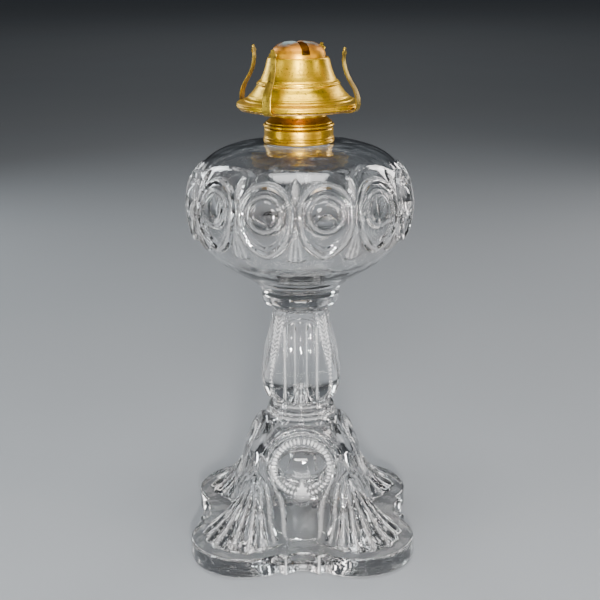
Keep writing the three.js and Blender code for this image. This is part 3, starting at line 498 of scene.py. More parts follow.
def rim_radius(angle):
    """The rim's radius: four round lobes, and a cusped scallop in the middle of each side."""
    notch_reach = LOBE_RADIUS + math.sqrt(LOBE_RADIUS ** 2 - (LOBE_RADIUS - NOTCH_SPREAD) ** 2)
    cusp_reach = notch_reach + CUSP_RISE
    arc_radius = (CUSP_SPREAD ** 2 + SCALLOP_DEPTH ** 2) / (2 * SCALLOP_DEPTH)
    arc = np.linspace(0, math.asin(CUSP_SPREAD / arc_radius), 40)
    scallop_y = cusp_reach - arc_radius * (np.cos(arc) - math.cos(arc[-1]))
    start = math.atan2(notch_reach - LOBE_RADIUS, NOTCH_SPREAD - LOBE_RADIUS)
    lobe = np.linspace(start, math.pi / 4, 60)
    x = np.concatenate([arc_radius * np.sin(arc), LOBE_RADIUS * (1 + np.cos(lobe))])
    y = np.concatenate([scallop_y, LOBE_RADIUS * (1 + np.sin(lobe))])
    radius = np.interp(off_side(angle), np.arctan2(x, y), np.hypot(x, y))
    for _ in range(2):
        radius = (np.roll(radius, 1) + 2 * radius + np.roll(radius, -1)) / 4
    return radius


def rib_places(radius, angle):
    """Distance from the shell's hub, number of the rib, nearness to its crest, and its reach."""
    from_corner = angle % QUARTER - QUARTER / 2
    ahead = radius * np.cos(from_corner) - SHELL_HUB[0]
    across = radius * np.sin(from_corner)
    spread = np.degrees(np.abs(np.arctan2(across, ahead)))
    order = np.arange(len(RIB_ANGLES))
    phase = np.interp(spread, RIB_ANGLES, order) + np.clip(spread - RIB_ANGLES[-1], 0, None) / NEXT_RIB
    crest = 1 - 2 * np.abs(phase - np.round(phase))
    return np.hypot(ahead, across), phase, crest, np.interp(phase, order, RIB_REACHES)


def with_shells(radius, angle, skirt):
    """Adds the ribbed shells, which fan out from hubs on the diagonals, to one column of skirt heights."""
    distance, phase, crest, reach = rib_places(radius, angle)
    share = np.clip(distance / reach, 0, 1)
    fall = SHELL_FOOT_Z + (SHELL_HUB[1] - SHELL_FOOT_Z) * (1 - share) ** SHELL_FALL
    plain = smooth_max(skirt, fall, 0.4)
    steepness = np.clip(np.gradient(plain) / np.gradient(radius), STEEPEST, 0)
    end_ramp = END_SLOPE * (reach - RIB_POINT * (1 - crest) - distance)
    depth = np.clip(np.minimum(RIB_DEPTH, RIB_GROWTH * (distance - RIB_START)), 0, None)
    rib = np.clip(np.minimum(depth * (1 - (1 - crest) ** 1.6) ** 0.8, end_ramp), 0, None)
    rib = np.where(phase > len(RIB_ANGLES) - 0.5, 0, rib)
    return plain + rib * np.sqrt(1 + steepness ** 2)


def skirt_height(radius, angle):
    """Height of the plain skirt at each radius of one column."""
    line = curve_through(SKIRT, 0.5)
    down = np.clip(1 - (line[:, 1] - RIM_HEIGHT) / (SKIRT[-1][1] - RIM_HEIGHT), 0, 1)
    reach = line[:, 0] * squared(angle, 2 + 3 * down)
    height = np.interp(radius, reach[::-1], line[::-1, 1])
    return height - 1.5 * np.clip(radius - reach[0], 0, None)


def foot_top_rows(angles, rim):
    """The foot's upper surface, from the rim's top edge in to the step rings."""
    shares = np.concatenate([np.linspace(0, 0.38, 46)[:-1], np.linspace(0.38, 1, 104)])
    columns = []
    for angle, outside in zip(angles, rim):
        radius = np.linspace(outside - RIM_INSET, SKIRT[-1][0], 700)
        height = with_shells(radius, angle, skirt_height(radius, angle))
        height = np.maximum(smooth_max(height, RIM_HEIGHT - 0.1, 0.2), RIM_HEIGHT)
        line = np.stack([radius, height], axis=1)
        columns.append(resampled(line, shares * run_lengths(line)[-1]))
    grid = np.stack(columns, axis=1)
    return polar(grid[..., 0], angles, grid[..., 1])


def beyond_oval(across, up, half):
    """How far a place lies outside an oval, in millimetres."""
    return (np.hypot(across / half[0], up / half[1]) - 1) * np.mean(half)


def bead_row(across, up, half, count, length):
    """Beads on an oval, each as long as length along the oval's radius."""
    turn = np.arctan2(up / half[1], across / half[0])
    place = (turn / TURN * count) % 1 - 0.5
    out = beyond_oval(across, up, half)
    return np.sqrt(np.clip(1 - (place / BEAD_FILL) ** 2 - (2 * out / length) ** 2, 0, 1))


def beads_round_stone(across, up):
    """Beads, 0 to 1: long ones over the stone, and under it two rows of short ones."""
    length = 3.9 + 0.7 * smooth_step(up, 3, 9) - 0.9 * smooth_step(-up, 3, 9)
    outer = bead_row(across, up - BEAD_CENTRE, BEAD_HALF, BEAD_COUNT, length)
    inner = bead_row(across, up - BEAD_CENTRE, LOW_BEAD_HALF, LOW_BEAD_COUNT, LOW_BEAD_LENGTH)
    stone_oval = np.hypot(across / STONE_HALF[0], up / STONE_HALF[1])
    return np.maximum(outer, inner * (stone_oval > 1.25) * (up < -5))


def medallion_relief(across, up, bead_out):
    """The medallion over its own plane: a smooth oval stone, beads round it, a frame and an arch."""
    stone_oval = np.hypot(across / STONE_HALF[0], up / STONE_HALF[1])
    arch_oval = np.hypot(across / ARCH_HALF[0], up / ARCH_HALF[1])
    arch_out = (arch_oval - 1) * ARCH_HALF[1] + 0.5 * np.clip(5 - up, 0, None)
    beads = 0.2 + 1.9 * beads_round_stone(across, up)
    parts = np.maximum.reduce([
        np.where(stone_oval < 1, 0.3 + round_ridge(stone_oval, 1, 2.9), 0),
        round_ridge((stone_oval - 1.08) * STONE_HALF[1], 0.55, 0.9),
        np.where((bead_out < 2.6) & (stone_oval > 1.14), beads, 0),
        round_ridge(bead_out - 3.9, 1.2, 1.1),
        round_ridge(arch_out + 1.3, 1.3, 1.2),
    ])
    field = np.minimum(bead_out - 5.0, arch_out)
    bend = MEDALLION_BEND * np.clip(up - 2, 0, None)
    return np.where(field < 0, parts, -1.3 * field) - bend


def drop_relief(across, height):
    """Depth of the smooth drop under a medallion, slender above and round below, and -1 off the drop."""
    above = np.clip((DROP_TOP_Z - height) / (DROP_TOP_Z - DROP_WIDE_Z), 0, 1)
    below = round_ridge(np.clip(DROP_WIDE_Z - height, 0, None), DROP_WIDE_Z - DROP_BOTTOM_Z)
    half = DROP_HALF_WIDTH * above ** 1.3 * below
    share = np.clip((half - np.abs(across)) / DROP_HALF_WIDTH, 0, 1)
    return np.where(half > np.abs(across), DROP_EDGE + DROP_DEPTH * share ** 0.8, -1)


def with_medallions(points):
    """Raises the four medallions, each along its own normal, and the drop under each one."""
    face = np.array([0, -math.cos(MEDALLION_TILT), math.sin(MEDALLION_TILT)])
    upward = np.array([0, math.sin(MEDALLION_TILT), math.cos(MEDALLION_TILT)])
    for side in range(4):
        local = spun(points, -side * QUARTER)
        x, y, height = np.moveaxis(local, -1, 0)
        near = (-y >= np.abs(x)) & (height > 30)
        offset = local - MEDALLION_CENTRE
        depth = offset @ face
        up = offset @ upward
        bead_out = beyond_oval(x, up - BEAD_CENTRE, BEAD_HALF)
        relief = medallion_relief(x, up, bead_out)
        raised = np.where(bead_out < 4.5, relief, smooth_max(depth, relief, 0.35))
        drop = np.where(near, drop_relief(x, height), -1)
        push = np.where(near, np.where(drop > 0, 0, raised - depth), 0)
        local = local + push[..., None] * face
        local[..., 1] -= np.clip(drop, 0, None)
        points = spun(local, side * QUARTER)
    return points


STEP_RINGS = [
    (21.4, 78.2), (21.3, 80), (19.6, 80.9), (19.4, 81.5), (20.3, 82.1), (20.0, 83.6), (17.4, 84.3),
    (17.2, 85), (17.6, 86.2), (16.9, 87.6),
]
STEP_CRESTS = [80.2, 83.0, 86.3]
STEM = [
    (16.9, 87.8), (18, 89), (20.1, 91), (21.7, 94), (23, 98), (23.5, 103), (22.9, 109), (22.1, 114.5),
    (21.3, 120.5), (20.1, 125.5), (18.6, 130.3), (17.3, 136.5), (16.7, 142), (16.6, 145.3),
]
STEM_CAP = [(16.2, 145.7), (15, STEM_TOP_Z), (8, STEM_TOP_Z)]
PANEL_HALF = 9.2
BAR_HALF = 3.5
PANEL_FOOT_Z = 95.0
PANEL_ARCH_Z = 141.5
PANEL_SPRING_Z = 135.0
STEM_SQUARENESS = 2.35
CORD_LINE = [(95, 44.5), (109, 44.5), (115, 43), (120, 41), (127, 39), (137, 36), (142, 35)]
CORD_HALF = 1.0
CORD_PITCH = 2.4
BONE_PITCH = 2.5
PEBBLE = 0.07
FLUTE_DEPTH = 1.5


def cord_angle(height):
    """Where the corded line that borders the corner leaf runs, as an angle from the middle of the side."""
    return np.radians(np.interp(height, *np.array(CORD_LINE, float).T))


def leaf_bones(from_side, height, radius):
    """The slanting bones of the leaf on a corner of the stem, 0 to 1."""
    return 0.5 - 0.5 * np.cos(TURN * (height - (math.pi / 4 - from_side) * radius) / BONE_PITCH)


def cord_twist(height, from_cord):
    """How full a twisted cord on the stem is at each place along it, 0.1 to 1."""
    return 0.55 + 0.45 * np.sin(TURN * (height / CORD_PITCH + np.abs(from_cord) * 0.4))


def stem_relief(angle, height, radius):
    """Each quarter has an arched panel of bars, and a flute on each side up to a corded corner leaf."""
    from_side = off_side(angle)
    across = radius * np.sin(from_side)
    from_jamb = across - PANEL_HALF
    arch_z = PANEL_SPRING_Z + round_ridge(across, PANEL_HALF + 1, PANEL_ARCH_Z - PANEL_SPRING_Z)
    under_arch = smooth_step(arch_z - height, 0.4, 2.2) * smooth_step(height, PANEL_FOOT_Z, PANEL_FOOT_Z + 3)
    side_half = (PANEL_HALF - BAR_HALF) / 2
    side_bar = round_ridge(across - BAR_HALF - side_half, side_half, 2.0)
    bars = (np.maximum(round_ridge(across, BAR_HALF, 2.2), side_bar) - 1.6) * under_arch
    on_panel = smooth_step(-from_jamb, -0.1, 0.4) * smooth_step(arch_z - height, 0, 0.6)
    arch_lines = round_ridge(height - arch_z - 0.4, 0.7, 0.7) + round_ridge(height - arch_z - 2.4, 0.7, 0.5)
    jamb = round_ridge(from_jamb - 0.2, 0.8) * smooth_step(arch_z - height, 0, 2)
    from_cord = (from_side - cord_angle(height)) * radius
    flute_share = np.clip(from_jamb / np.maximum(cord_angle(height) * radius - PANEL_HALF, 0.5), 0, 1)
    flute = -FLUTE_DEPTH * np.sin(math.pi * flute_share) * window(height, 93, 98, 128, 138)
    pebble = PEBBLE * np.sin(height * 4.1) * np.sin(angle * 72)
    foot_line = round_ridge((height - 92.5) - 0.9 * (from_side - math.radians(33)) * radius, 0.8, 0.9)
    outside = np.maximum.reduce([
        flute + pebble,
        round_ridge(from_cord, CORD_HALF, 1.4) * cord_twist(height, from_cord),
        np.where(from_cord > 0, 0.2 + 0.9 * leaf_bones(from_side, height, radius), 0),
        foot_line * (from_side > math.radians(26)),
    ])
    arch_lines = arch_lines * (across < PANEL_HALF + 1.2)
    relief = np.maximum.reduce([bars * on_panel + outside * (1 - on_panel), arch_lines, jamb])
    return relief * window(height, 88.5, 92, 142, 144.5)


def pedestal_angles():
    """Directions of the pedestal's columns, closer together across the medallions."""
    side = np.arange(-SIDE_REACH, SIDE_REACH, SIDE_STEP)
    corner = np.arange(SIDE_REACH, QUARTER - SIDE_REACH, CORNER_STEP)
    quarter = np.concatenate([side, corner])
    return np.concatenate([quarter + turn * QUARTER for turn in range(4)])


def pedestal_rows():
    angles = pedestal_angles()
    rim = rim_radius(angles)
    rows = []
    for radius, height in curve_through(HOLLOW, HOLLOW_SPACING):
        squareness = 2 + HOLLOW_SQUARENESS * min(1, max(0, 1 - height / HOLLOW_SQUARE_BELOW))
        rows.append(polar(radius * squared(angles, squareness), angles, height))
    mouth = HOLLOW[-1][0] * squared(angles, 2 + HOLLOW_SQUARENESS)
    for share in UNDERSIDE_SHARES:
        rows.append(polar(mouth + (rim - FOOT_BEVEL - mouth) * share, angles, 0))
    for inset, height in RIM_EDGE:
        rows.append(polar(rim - inset, angles, height))
    foot = blurred(with_medallions(foot_top_rows(angles, rim)))
    steps = rows_at(evenly(filleted(STEP_RINGS, 0.5), 0.45), angles)
    stem_line = curve_through(STEM, 0.55)
    radius, height = stem_line[:, :1], stem_line[:, 1:]
    square = 1 + (squared(angles, STEM_SQUARENESS) - 1) * window(height, 88, 94, 136, 145)
    stem = rows_at(stem_line, angles)
    stem[..., :2] *= (square + stem_relief(angles[None, :], height, radius) / radius)[..., None]
    return np.concatenate([np.array(rows), foot, steps[1:], stem[1:], rows_at(STEM_CAP, angles)])


def pedestal_frost_and_glint(points):
    """Painted highlights, put in as milky frost, on the beads, the drop, the stem's leaves, cords, bars and
    jambs, and the crests of ribs and steps; on the rim's bottom edge and cusps, wear and painted highlight.
    """
    x, y, height = np.moveaxis(points, -1, 0)
    angle = np.arctan2(y, x)
    radius = np.hypot(x, y)
    from_side = off_side(angle)
    across = radius * np.sin(from_side)
    up = (height - MEDALLION_CENTRE[2]) / math.cos(MEDALLION_TILT)
    on_drop = drop_relief(across, height) > 0
    # Painted highlight: the beads and the drop's upper part are frosted white in place of their glints.
    beads = smooth_step(beads_round_stone(across, up), 0.4, 0.9)
    beads = np.where(on_drop, 0.9 * smooth_step(height, 35, 44), beads)
    beads = beads * (height > 34) * (height < 76) * (radius > 24)
    from_cord = (from_side - cord_angle(height)) * radius
    # Painted highlights: bright lines along the leaf's bones, the cords, the jambs and the bars.
    stem = np.maximum.reduce([
        np.where(from_cord > 0, smooth_step(leaf_bones(from_side, height, radius), 0.45, 0.9), 0),
        smooth_step(-np.abs(from_cord), -1.1, -0.5) * (cord_twist(height, from_cord) > 0.6),
        round_ridge(across - PANEL_HALF - 0.2, 0.7, 0.6) * (height < PANEL_SPRING_Z + 2),
        round_ridge(across - BAR_HALF, 0.5, 0.4) * (height < PANEL_ARCH_Z - 1),
    ])
    stem = 0.9 * stem * window(height, 92, 94, 141, 143)
    # Rim: wear along the bottom edge, and painted highlights there and on the cusp lines.
    on_edge = (rim_radius(angle) - radius < 1.1) & (height < RIM_HEIGHT)
    edge = on_edge * np.maximum(0.55 * (height < 1), round_ridge(across - CUSP_SPREAD, 0.6, 0.8))
    distance, phase, crest, reach = rib_places(radius, angle)
    # Painted highlight along the crests of the shells' ribs.
    ribs = RIB_CREST_GLINT * smooth_step(crest, 0.55, 0.95)
    ribs = ribs * smooth_step(distance, 6, 12) * smooth_step(reach - distance, 1, 3)
    under = len(curve_through(HOLLOW, HOLLOW_SPACING)) + len(UNDERSIDE_SHARES)
    on_shell = (np.arange(len(points))[:, None] > under) & (phase < len(RIB_ANGLES) - 1.5) & (height > 13)
    # Painted highlight on the crests of the step rings.
    steps = np.maximum.reduce([round_ridge(height - crest_z, 0.6, 0.45) for crest_z in STEP_CRESTS])
    steps = steps * (radius > 17.2) * (radius < 23)
    return np.maximum.reduce([beads, stem, edge, steps, ribs * on_shell * (beads == 0)])


def make_pedestal():
    rows = pedestal_rows()
    mesh = ring_mesh("pressed_pedestal", rows, [(0, 0, HOLLOW_TIP_Z), (0, 0, STEM_TOP_Z)])
    mark_frost_and_glint(mesh, pedestal_frost_and_glint(rows))
    finished(link("pressed_pedestal", mesh, GLASS), "lamp", "glass_pedestal")


make_pedestal()


# Wafer of glass between stem and bowl

def make_wafer():
    low, high = (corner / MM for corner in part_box("joining_wafer"))
    radius = high.x
    line = filleted([(radius * 0.6, low.z), (radius * 0.95, low.z), (radius, (low.z + high.z) / 2),
                     (radius * 0.96, high.z), (radius * 0.6, high.z)], 0.9, 6)
    mesh = ring_mesh("glass_wafer", turned_rows(line, 128), [(0, 0, low.z), (0, 0, high.z)])
    finished(link("glass_wafer", mesh, GLASS), "lamp", "joining_wafer")


make_wafer()


# Glass font: the outside with its relief, the neck and the inside, one closed surface

FONT_COLUMNS = 576
SHOULDER_Z = 243.8
NECK_TOP_Z = 250.0
NECK_RADIUS = 18.3
NECK_BORE = 16.8
FLANGE = [(8, 148.8), (20.6, 148.8), (21.9, 149.3), (22.5, 150.6), (23, 153), (23.3, 156.5), (24.1, 158.6)]
BOWL = [
    (24.4, 159.3), (28.6, 163.2), (37.2, 168.9), (48.2, 176.4), (57.4, 186), (62.6, 196.5), (64.2, 206.5),
    (63.6, 215), (61.1, 223.7), (56, 232.2), (48.2, 238.2), (38, 241.9), (28.5, 243.3), (22, 243.7),
    (19.6, 243.8),
]
BOWL_INSIDE = [
    (NECK_BORE, 249.6), (NECK_BORE, 244), (17.6, 240.2), (24, 238.9), (36, 237.3), (48.5, 232.3), (56, 223),
    (59.3, 212), (59.4, 200), (55.4, 188.5), (46.5, 178.3), (34, 171.3), (18, 167.4), (2, 166.8),
]
EYE_COUNT = 12
EYE_FIRST = math.radians(-77)
EYE_Z = 214.2
EYE_HALF = (15.1, 17.2)
MIDDLE_HALF = (11.6, 12.6)
RING_HALF = 1.55
INNER_RING = 9.3
INNER_HALF = 0.9
STONE_RADIUS = 8.1
PATTERN_RADIUS = 61.0
PATTERN_BAND = (184, 236)
FAN_TOP = -7
FAN_LENGTH = 20.5
FAN_HALF = 6.6
SPEAR_FOOT = 5.5
SPEAR_LENGTH = 15
SPEAR_HALF = 2.3


def egg(across, along, half, stretch):
    """1 on an egg whose narrow end points down, less inside it."""
    from_foot = np.abs(np.arctan2(across, -along))
    oval = np.hypot(across / half[0], along / half[1])
    return oval / (1 + stretch * np.clip(1 - from_foot / 1.35, 0, 1) ** 1.35)


def font_relief(angle, along):
    """The bowl's relief and its frost mask, which paints highlights on the ring crests, fans and stippled
    spears; along is the length up its side from the middle of the bull's-eyes.
    """
    pitch = TURN / EYE_COUNT
    turn = (angle - EYE_FIRST + pitch / 2) % pitch - pitch / 2
    across = turn * PATTERN_RADIUS
    between = (pitch / 2 - np.abs(turn)) * PATTERN_RADIUS
    distance = np.hypot(across, along)
    outer = (egg(across, along, EYE_HALF, 0.5) - 1) * EYE_HALF[0] + RING_HALF
    middle = (egg(across, along, MIDDLE_HALF, 0.62) - 1) * MIDDLE_HALF[0]
    fan_share = np.clip((FAN_TOP - along) / FAN_LENGTH, 0, 1)
    fan_half = FAN_HALF * fan_share ** 0.75 * round_ridge(np.clip(fan_share - 0.82, 0, None), 0.18)
    spread = between / np.maximum(fan_half, 0.3)
    fan_ribs = 0.5 + 0.5 * np.cos(TURN * 2.0 * np.clip(spread, 0, 1))
    fan = np.where(fan_half > 0.3, 2.2 * round_ridge(spread, 1) ** 0.6 * fan_ribs, 0)
    spear_share = np.clip((along - SPEAR_FOOT) / SPEAR_LENGTH, 0, 1)
    spear_half = SPEAR_HALF * np.sin(math.pi * spear_share) ** 0.7
    stipple = 0.75 + 0.35 * np.cos(TURN * between / 1.7) * np.cos(TURN * along / 1.9)
    spear = round_ridge(between / np.maximum(spear_half, 0.3), 1, 1.6) * stipple * (spear_half > 0.3)
    relief = np.maximum.reduce([
        round_ridge(outer, RING_HALF, 2.5),
        round_ridge(middle + 0.6, 0.7, 1.0),
        round_ridge(distance - INNER_RING, INNER_HALF, 2.0),
        np.where(distance < STONE_RADIUS, 0.3 + round_ridge(distance, STONE_RADIUS, 2.3), 0),
        fan,
        spear,
    ])
    # Painted highlights: milky lines on the ring crests, and on the fans and spears.
    frost_and_glint = np.maximum.reduce([
        round_ridge(outer, 0.8, 0.22),
        round_ridge(distance - INNER_RING, 0.6, 0.18),
        0.3 * (fan > 1.2),
        0.45 * (spear > 0.9),
    ])
    return relief, frost_and_glint


def font_rows():
    """The font's rings, and at each of their points the frost mask: the band's stipple and painted
    highlights.
    """
    flange = evenly(filleted(FLANGE, 0.7), 1.1)
    side = curve_through(BOWL, 0.1)
    run = run_lengths(side)
    low, high = np.interp(PATTERN_BAND, side[:, 1], run)
    places = np.concatenate([
        np.arange(0, low, 1.6), np.arange(low, high, 0.62), np.arange(high, run[-1], 1.8), run[-1:],
    ])
    line = resampled(side, places)
    tangent = directions_along(line)
    along = places - np.interp(EYE_Z, side[:, 1], run)
    angles = angles_round(FONT_COLUMNS)
    relief, frost_and_glint = font_relief(angles[None, :], along[:, None])
    fade = window(line[:, 1:], 182, 188, 235, 239)
    relief = blurred(relief) * fade
    bowl = polar(line[:, :1] + relief * tangent[:, 1:], angles, line[:, 1:] - relief * tangent[:, :1])
    neck = filleted([(19.2, SHOULDER_Z + 0.05), (NECK_RADIUS, SHOULDER_Z + 0.9), (NECK_RADIUS, NECK_TOP_Z),
                     (NECK_BORE, NECK_TOP_Z)], 0.4)
    inside = curve_through(BOWL_INSIDE, 2.2)
    flange_rows, neck_rows, inside_rows = (turned_rows(part, FONT_COLUMNS) for part in (flange, neck, inside))
    rows = np.concatenate([flange_rows, bowl, neck_rows, inside_rows])
    amounts = np.zeros(rows.shape[:2])
    amounts[len(flange):len(flange) + len(bowl)] = frost_and_glint * fade
    return rows, amounts


def make_font():
    rows, frost_and_glint = font_rows()
    mesh = ring_mesh("pressed_font", rows, [(0, 0, FLANGE[0][1]), (0, 0, BOWL_INSIDE[-1][1])])
    mark_frost_and_glint(mesh, frost_and_glint)
    finished(link("pressed_font", mesh, GLASS), "lamp", "glass_font")


make_font()


# Brass pieces. Walls are listed as [radius, height]: up the outside, then down the inside.

LATHE_COLUMNS = 192
ROD_COLUMNS = 48
SHARP_EDGE = math.radians(40)
BURNER_TURN = math.radians(17)
SPINDLE_X = 5.0
SPINDLE_Z = 258.3


def with_burner(points):
    """Turns points of the burner's own frame, whose wick is as wide as Y, into the lamp's frame."""
    return spun(points, BURNER_TURN)


def about_spindle(rows):
    """Lays what was turned about the Z axis along the spindle."""
    x, y, z = np.moveaxis(np.asarray(rows, float), -1, 0)
    return with_burner(np.stack([SPINDLE_X + y, z, SPINDLE_Z + x], axis=-1))


def piece_of(name, rows, material, body, replaced, ends=None):
    """A finished piece from rings of points, smooth but for its sharp edges."""
    mesh = ring_mesh(name, rows, ends)
    mesh.set_sharp_from_angle(angle=SHARP_EDGE)
    return finished(link(name, mesh, material), body, replaced)


def cut_away(piece, cutter):
    modifier = piece.modifiers.new("cut", "BOOLEAN")
    modifier.operation = "DIFFERENCE"
    modifier.solver = "EXACT"
    modifier.object = cutter
    ready = bpy.context.evaluated_depsgraph_get()
    piece.data = bpy.data.meshes.new_from_object(piece.evaluated_get(ready))
    piece.data.set_sharp_from_angle(angle=SHARP_EDGE)
    piece.modifiers.clear()
    bpy.data.objects.remove(cutter)


def block_cutter(low, high):
    """A box between two corners of the burner's own frame."""
    x, y, z = zip(low, high)
    corners = [(x[i], y[j], z[k]) for k in (0, 1) for i, j in ((0, 0), (1, 0), (1, 1), (0, 1))]
    faces = np.array([[3, 2, 1, 0], [4, 5, 6, 7], [0, 1, 5, 4], [1, 2, 6, 5], [2, 3, 7, 6], [3, 0, 4, 7]])
    return link("cutter", mesh_of("cutter", with_burner(corners), [faces], False), DARK_BRASS)


def rod_cutter(radius, start, end):
    """A round cutter along the spindle."""
    rows = turned_rows([(radius, start), (radius, end)], ROD_COLUMNS)
    ends = about_spindle([(0, 0, start), (0, 0, end)])
    return link("cutter", ring_mesh("cutter", about_spindle(rows), ends), DARK_BRASS)


COLLAR = [
    (19.9, 244.1), (20.3, 244.45), (20.35, 245.7), (19.85, 246.2), (20.2, 246.6), (20.2, 247.2),
    (19.7, 247.7), (19.8, 248.6), (19.8, 251.8), (19.3, 252.6), (15.9, 252.6), (15.9, 244.1), (16.5, 244.1),
    (16.5, 252), (18.8, 252), (19.15, 251.5), (19.1, 244.1),
]
CEMENT = [(18.85, 250.3), (18.85, 251.7), (16.8, 251.7), (16.8, 250.3)]
BASE = [
    (19.6, 252.9), (20.2, 253.3), (20.3, 254.1), (19.8, 254.9), (19, 255.2), (18.9, 255.9), (18.2, 256.4),
    (16.6, 257.9), (15.6, 258.9), (15.4, 259.6), (15.4, 261.2), (15.8, 261.7), (16, 262.2), (18.4, 262.2),
    (18.4, 262.8), (14.8, 262.8), (14.8, 259.5), (15.1, 258.6), (17.8, 255.9), (18.3, 255.2), (19.2, 254.4),
    (19.2, 252.9),
]
THROAT_RADIUS = 15.4
FERRULE_HOLE = (2.15, 8, 24)
CONE = [
    (32.9, 264), (34.7, 264.15), (35.35, 264.8), (35.35, 265.5), (35.05, 265.9), (35.25, 266.3), (35.1, 267),
    (34.4, 267.35), (33.2, 267.4), (32.2, 267.9), (31.2, 268.1), (30.8, 268.8), (29.6, 269.2), (28.7, 269.8),
    (28.4, 270.5), (27.3, 271.4), (25.5, 273.6), (24.1, 275.7), (23.3, 276.6), (23.75, 277.0), (23.75, 277.6),
    (23.1, 277.95), (23.15, 278.5), (22.2, 278.9), (21.3, 279.9), (20.2, 282.1), (19.4, 284.3), (18.7, 286.6),
    (18.1, 288.7), (17.65, 290.6), (17.4, 291.6), (16.9, 291.9), (16.2, 291.9), (16.2, 291.3), (16.8, 291.2),
    (17.1, 290.3), (18.1, 286.4), (19.6, 281.9), (20.8, 279.4), (22.6, 278), (22.7, 276.4), (24.9, 273.2),
    (27, 270.7), (28, 269.3), (30.2, 268.1), (31.4, 267.4), (34.3, 266.7), (34.6, 265.6), (34.3, 264.8),
    (32.9, 264.6),
]
DOME = [
    (14.9, 290.5), (16.8, 290.5), (16.8, 291), (15.6, 291.05), (15.4, 291.6), (15.4, 293.2), (15.2, 294.4),
    (14.6, 295.9), (13.4, 297.4), (11.4, 298.9), (8.4, 300), (4.5, 300.55), (0.3, 300.7), (0.3, 300.2),
    (4.4, 300.05), (8.1, 299.5), (11, 298.4), (13, 297), (14.2, 295.6), (14.7, 294.3), (14.9, 293),
]
DOME_SLOT = ((-2.3, -15.5, 293.8), (2.3, 15.5, 310))


def lathe(name, wall, fillet, material, body, replaced):
    rows = turned_rows(filleted(wall, fillet, 3, closed=True), LATHE_COLUMNS)
    return piece_of(name, rows, material, body, replaced)


def make_collar():
    lathe("threaded_collar", COLLAR, 0.3, COLLAR_BRASS, "lamp", "brass_collar")
    lathe("collar_plaster", CEMENT, 0.2, PLASTER, "lamp", "collar_cement")


def make_base():
    base = lathe("burner_throat", BASE, 0.3, COLLAR_BRASS, "burner", "burner_base")
    cut_away(base, rod_cutter(*FERRULE_HOLE))


def make_cone():
    lathe("bell_cone", CONE, 0.35, BRASS, "burner", "burner_cone")


def make_dome():
    dome = lathe("slotted_dome", DOME, 0.2, HEATED, "burner", "flame_dome")
    cut_away(dome, block_cutter(*DOME_SLOT))


SCREW = [
    (15.2, 245.2), (15.35, 245.4), (15.35, 252.8), (18.9, 252.9), (18.9, 253.5), (15, 253.5), (14.75, 253.2),
    (14.75, 245.2),
]
SCREW_RIDGE = 0.24
SCREW_PITCH = 1.9
SCREW_WALL = 15.6


def make_screw():
    line = evenly(np.vstack([SCREW, SCREW[:1]]), 0.3)[:-1]
    rows = turned_rows(line, LATHE_COLUMNS)
    angle = angles_round(LATHE_COLUMNS)
    height = line[:, 1:]
    on_wall = window(height, 245.4, 246.2, 251.8, 252.6) * (line[:, :1] < SCREW_WALL)
    ridge = on_wall * SCREW_RIDGE * np.cos(TURN * height / SCREW_PITCH - angle)
    rows = rows + polar(ridge, angle, 0)
    piece_of("rolled_screw", rows, DARK_BRASS, "burner", "burner_screw")


PLATE_RADIUS = 33.7
PLATE_LOW_Z = 263.1
PLATE_HIGH_Z = 263.7
PLATE_RINGS = [(21.2, 30, 0.75), (23.6, 36, 0.75), (26.05, 12, 1.7), (29.6, 44, 0.75), (31.6, 48, 0.6)]
PLATE_SLOT = [(-2.35, -13.8), (2.35, -13.8), (2.35, 13.8), (-2.35, 13.8)]
VENT_HOLE = 2.1
VENT_X = -5.25
VENT = [
    (1.65, 249.2), (1.8, 249.4), (1.8, 273), (1.65, 273.2), (1.35, 273.2), (1.2, 273), (1.2, 249.4),
    (1.35, 249.2),
]


def loop_of(curve, points):
    spline = curve.splines.new("POLY")
    spline.points.add(len(points) - 1)
    for point, (x, y) in zip(spline.points, points):
        point.co = (x * MM, y * MM, 0, 1)
    spline.use_cyclic_u = True


def circle_points(radius, count, centre=(0, 0)):
    return polar(radius, angles_round(count), 0)[:, :2] + centre


def make_plate():
    """A disc with a slot for the wick, a hole for the vent and rings of holes (reach, count, radius)."""
    curve = bpy.data.curves.new("perforated_plate", "CURVE")
    curve.dimensions = "2D"
    curve.fill_mode = "BOTH"
    curve.extrude = (PLATE_HIGH_Z - PLATE_LOW_Z) / 2 * MM
    loop_of(curve, circle_points(PLATE_RADIUS, LATHE_COLUMNS))
    loop_of(curve, PLATE_SLOT)
    loop_of(curve, circle_points(VENT_HOLE, 24, (VENT_X, 0)))
    for reach, count, radius in PLATE_RINGS:
        for centre in circle_points(reach, count):
            loop_of(curve, circle_points(radius, 12, centre))
    source = bpy.data.objects.new("plate_outline", curve)
    mesh = bpy.data.meshes.new_from_object(source)
    bpy.data.objects.remove(source)
    mesh.materials.clear()
    middle = Matrix.Translation((0, 0, (PLATE_LOW_Z + PLATE_HIGH_Z) / 2 * MM))
    mesh.transform(middle @ Matrix.Rotation(BURNER_TURN, 4, "Z"))
    finished(link("perforated_plate", mesh, DARK_BRASS), "burner", "air_plate")


# Wick, its tube and the vent beside it

TUBE_HALF = (2.05, 13.5)
TUBE_WALL = 0.5
TUBE_Z = (249.2, 292.1)
TUBE_EDGE = 0.12
WICK_HALF = (1.25, 12.7)
WICK_Z = (247.6, 293.6)
THREAD_PITCH = 1.05
THREAD_DEPTH = 0.14
ROW_HEIGHT = 0.26
WHEEL_SPACING = 8
WHEEL_PLACES = (-WHEEL_SPACING, 0, WHEEL_SPACING)
WHEEL_WINDOW_X = (0.6, 5)
WHEEL_WINDOW_HALF = (1.2, 2.8)


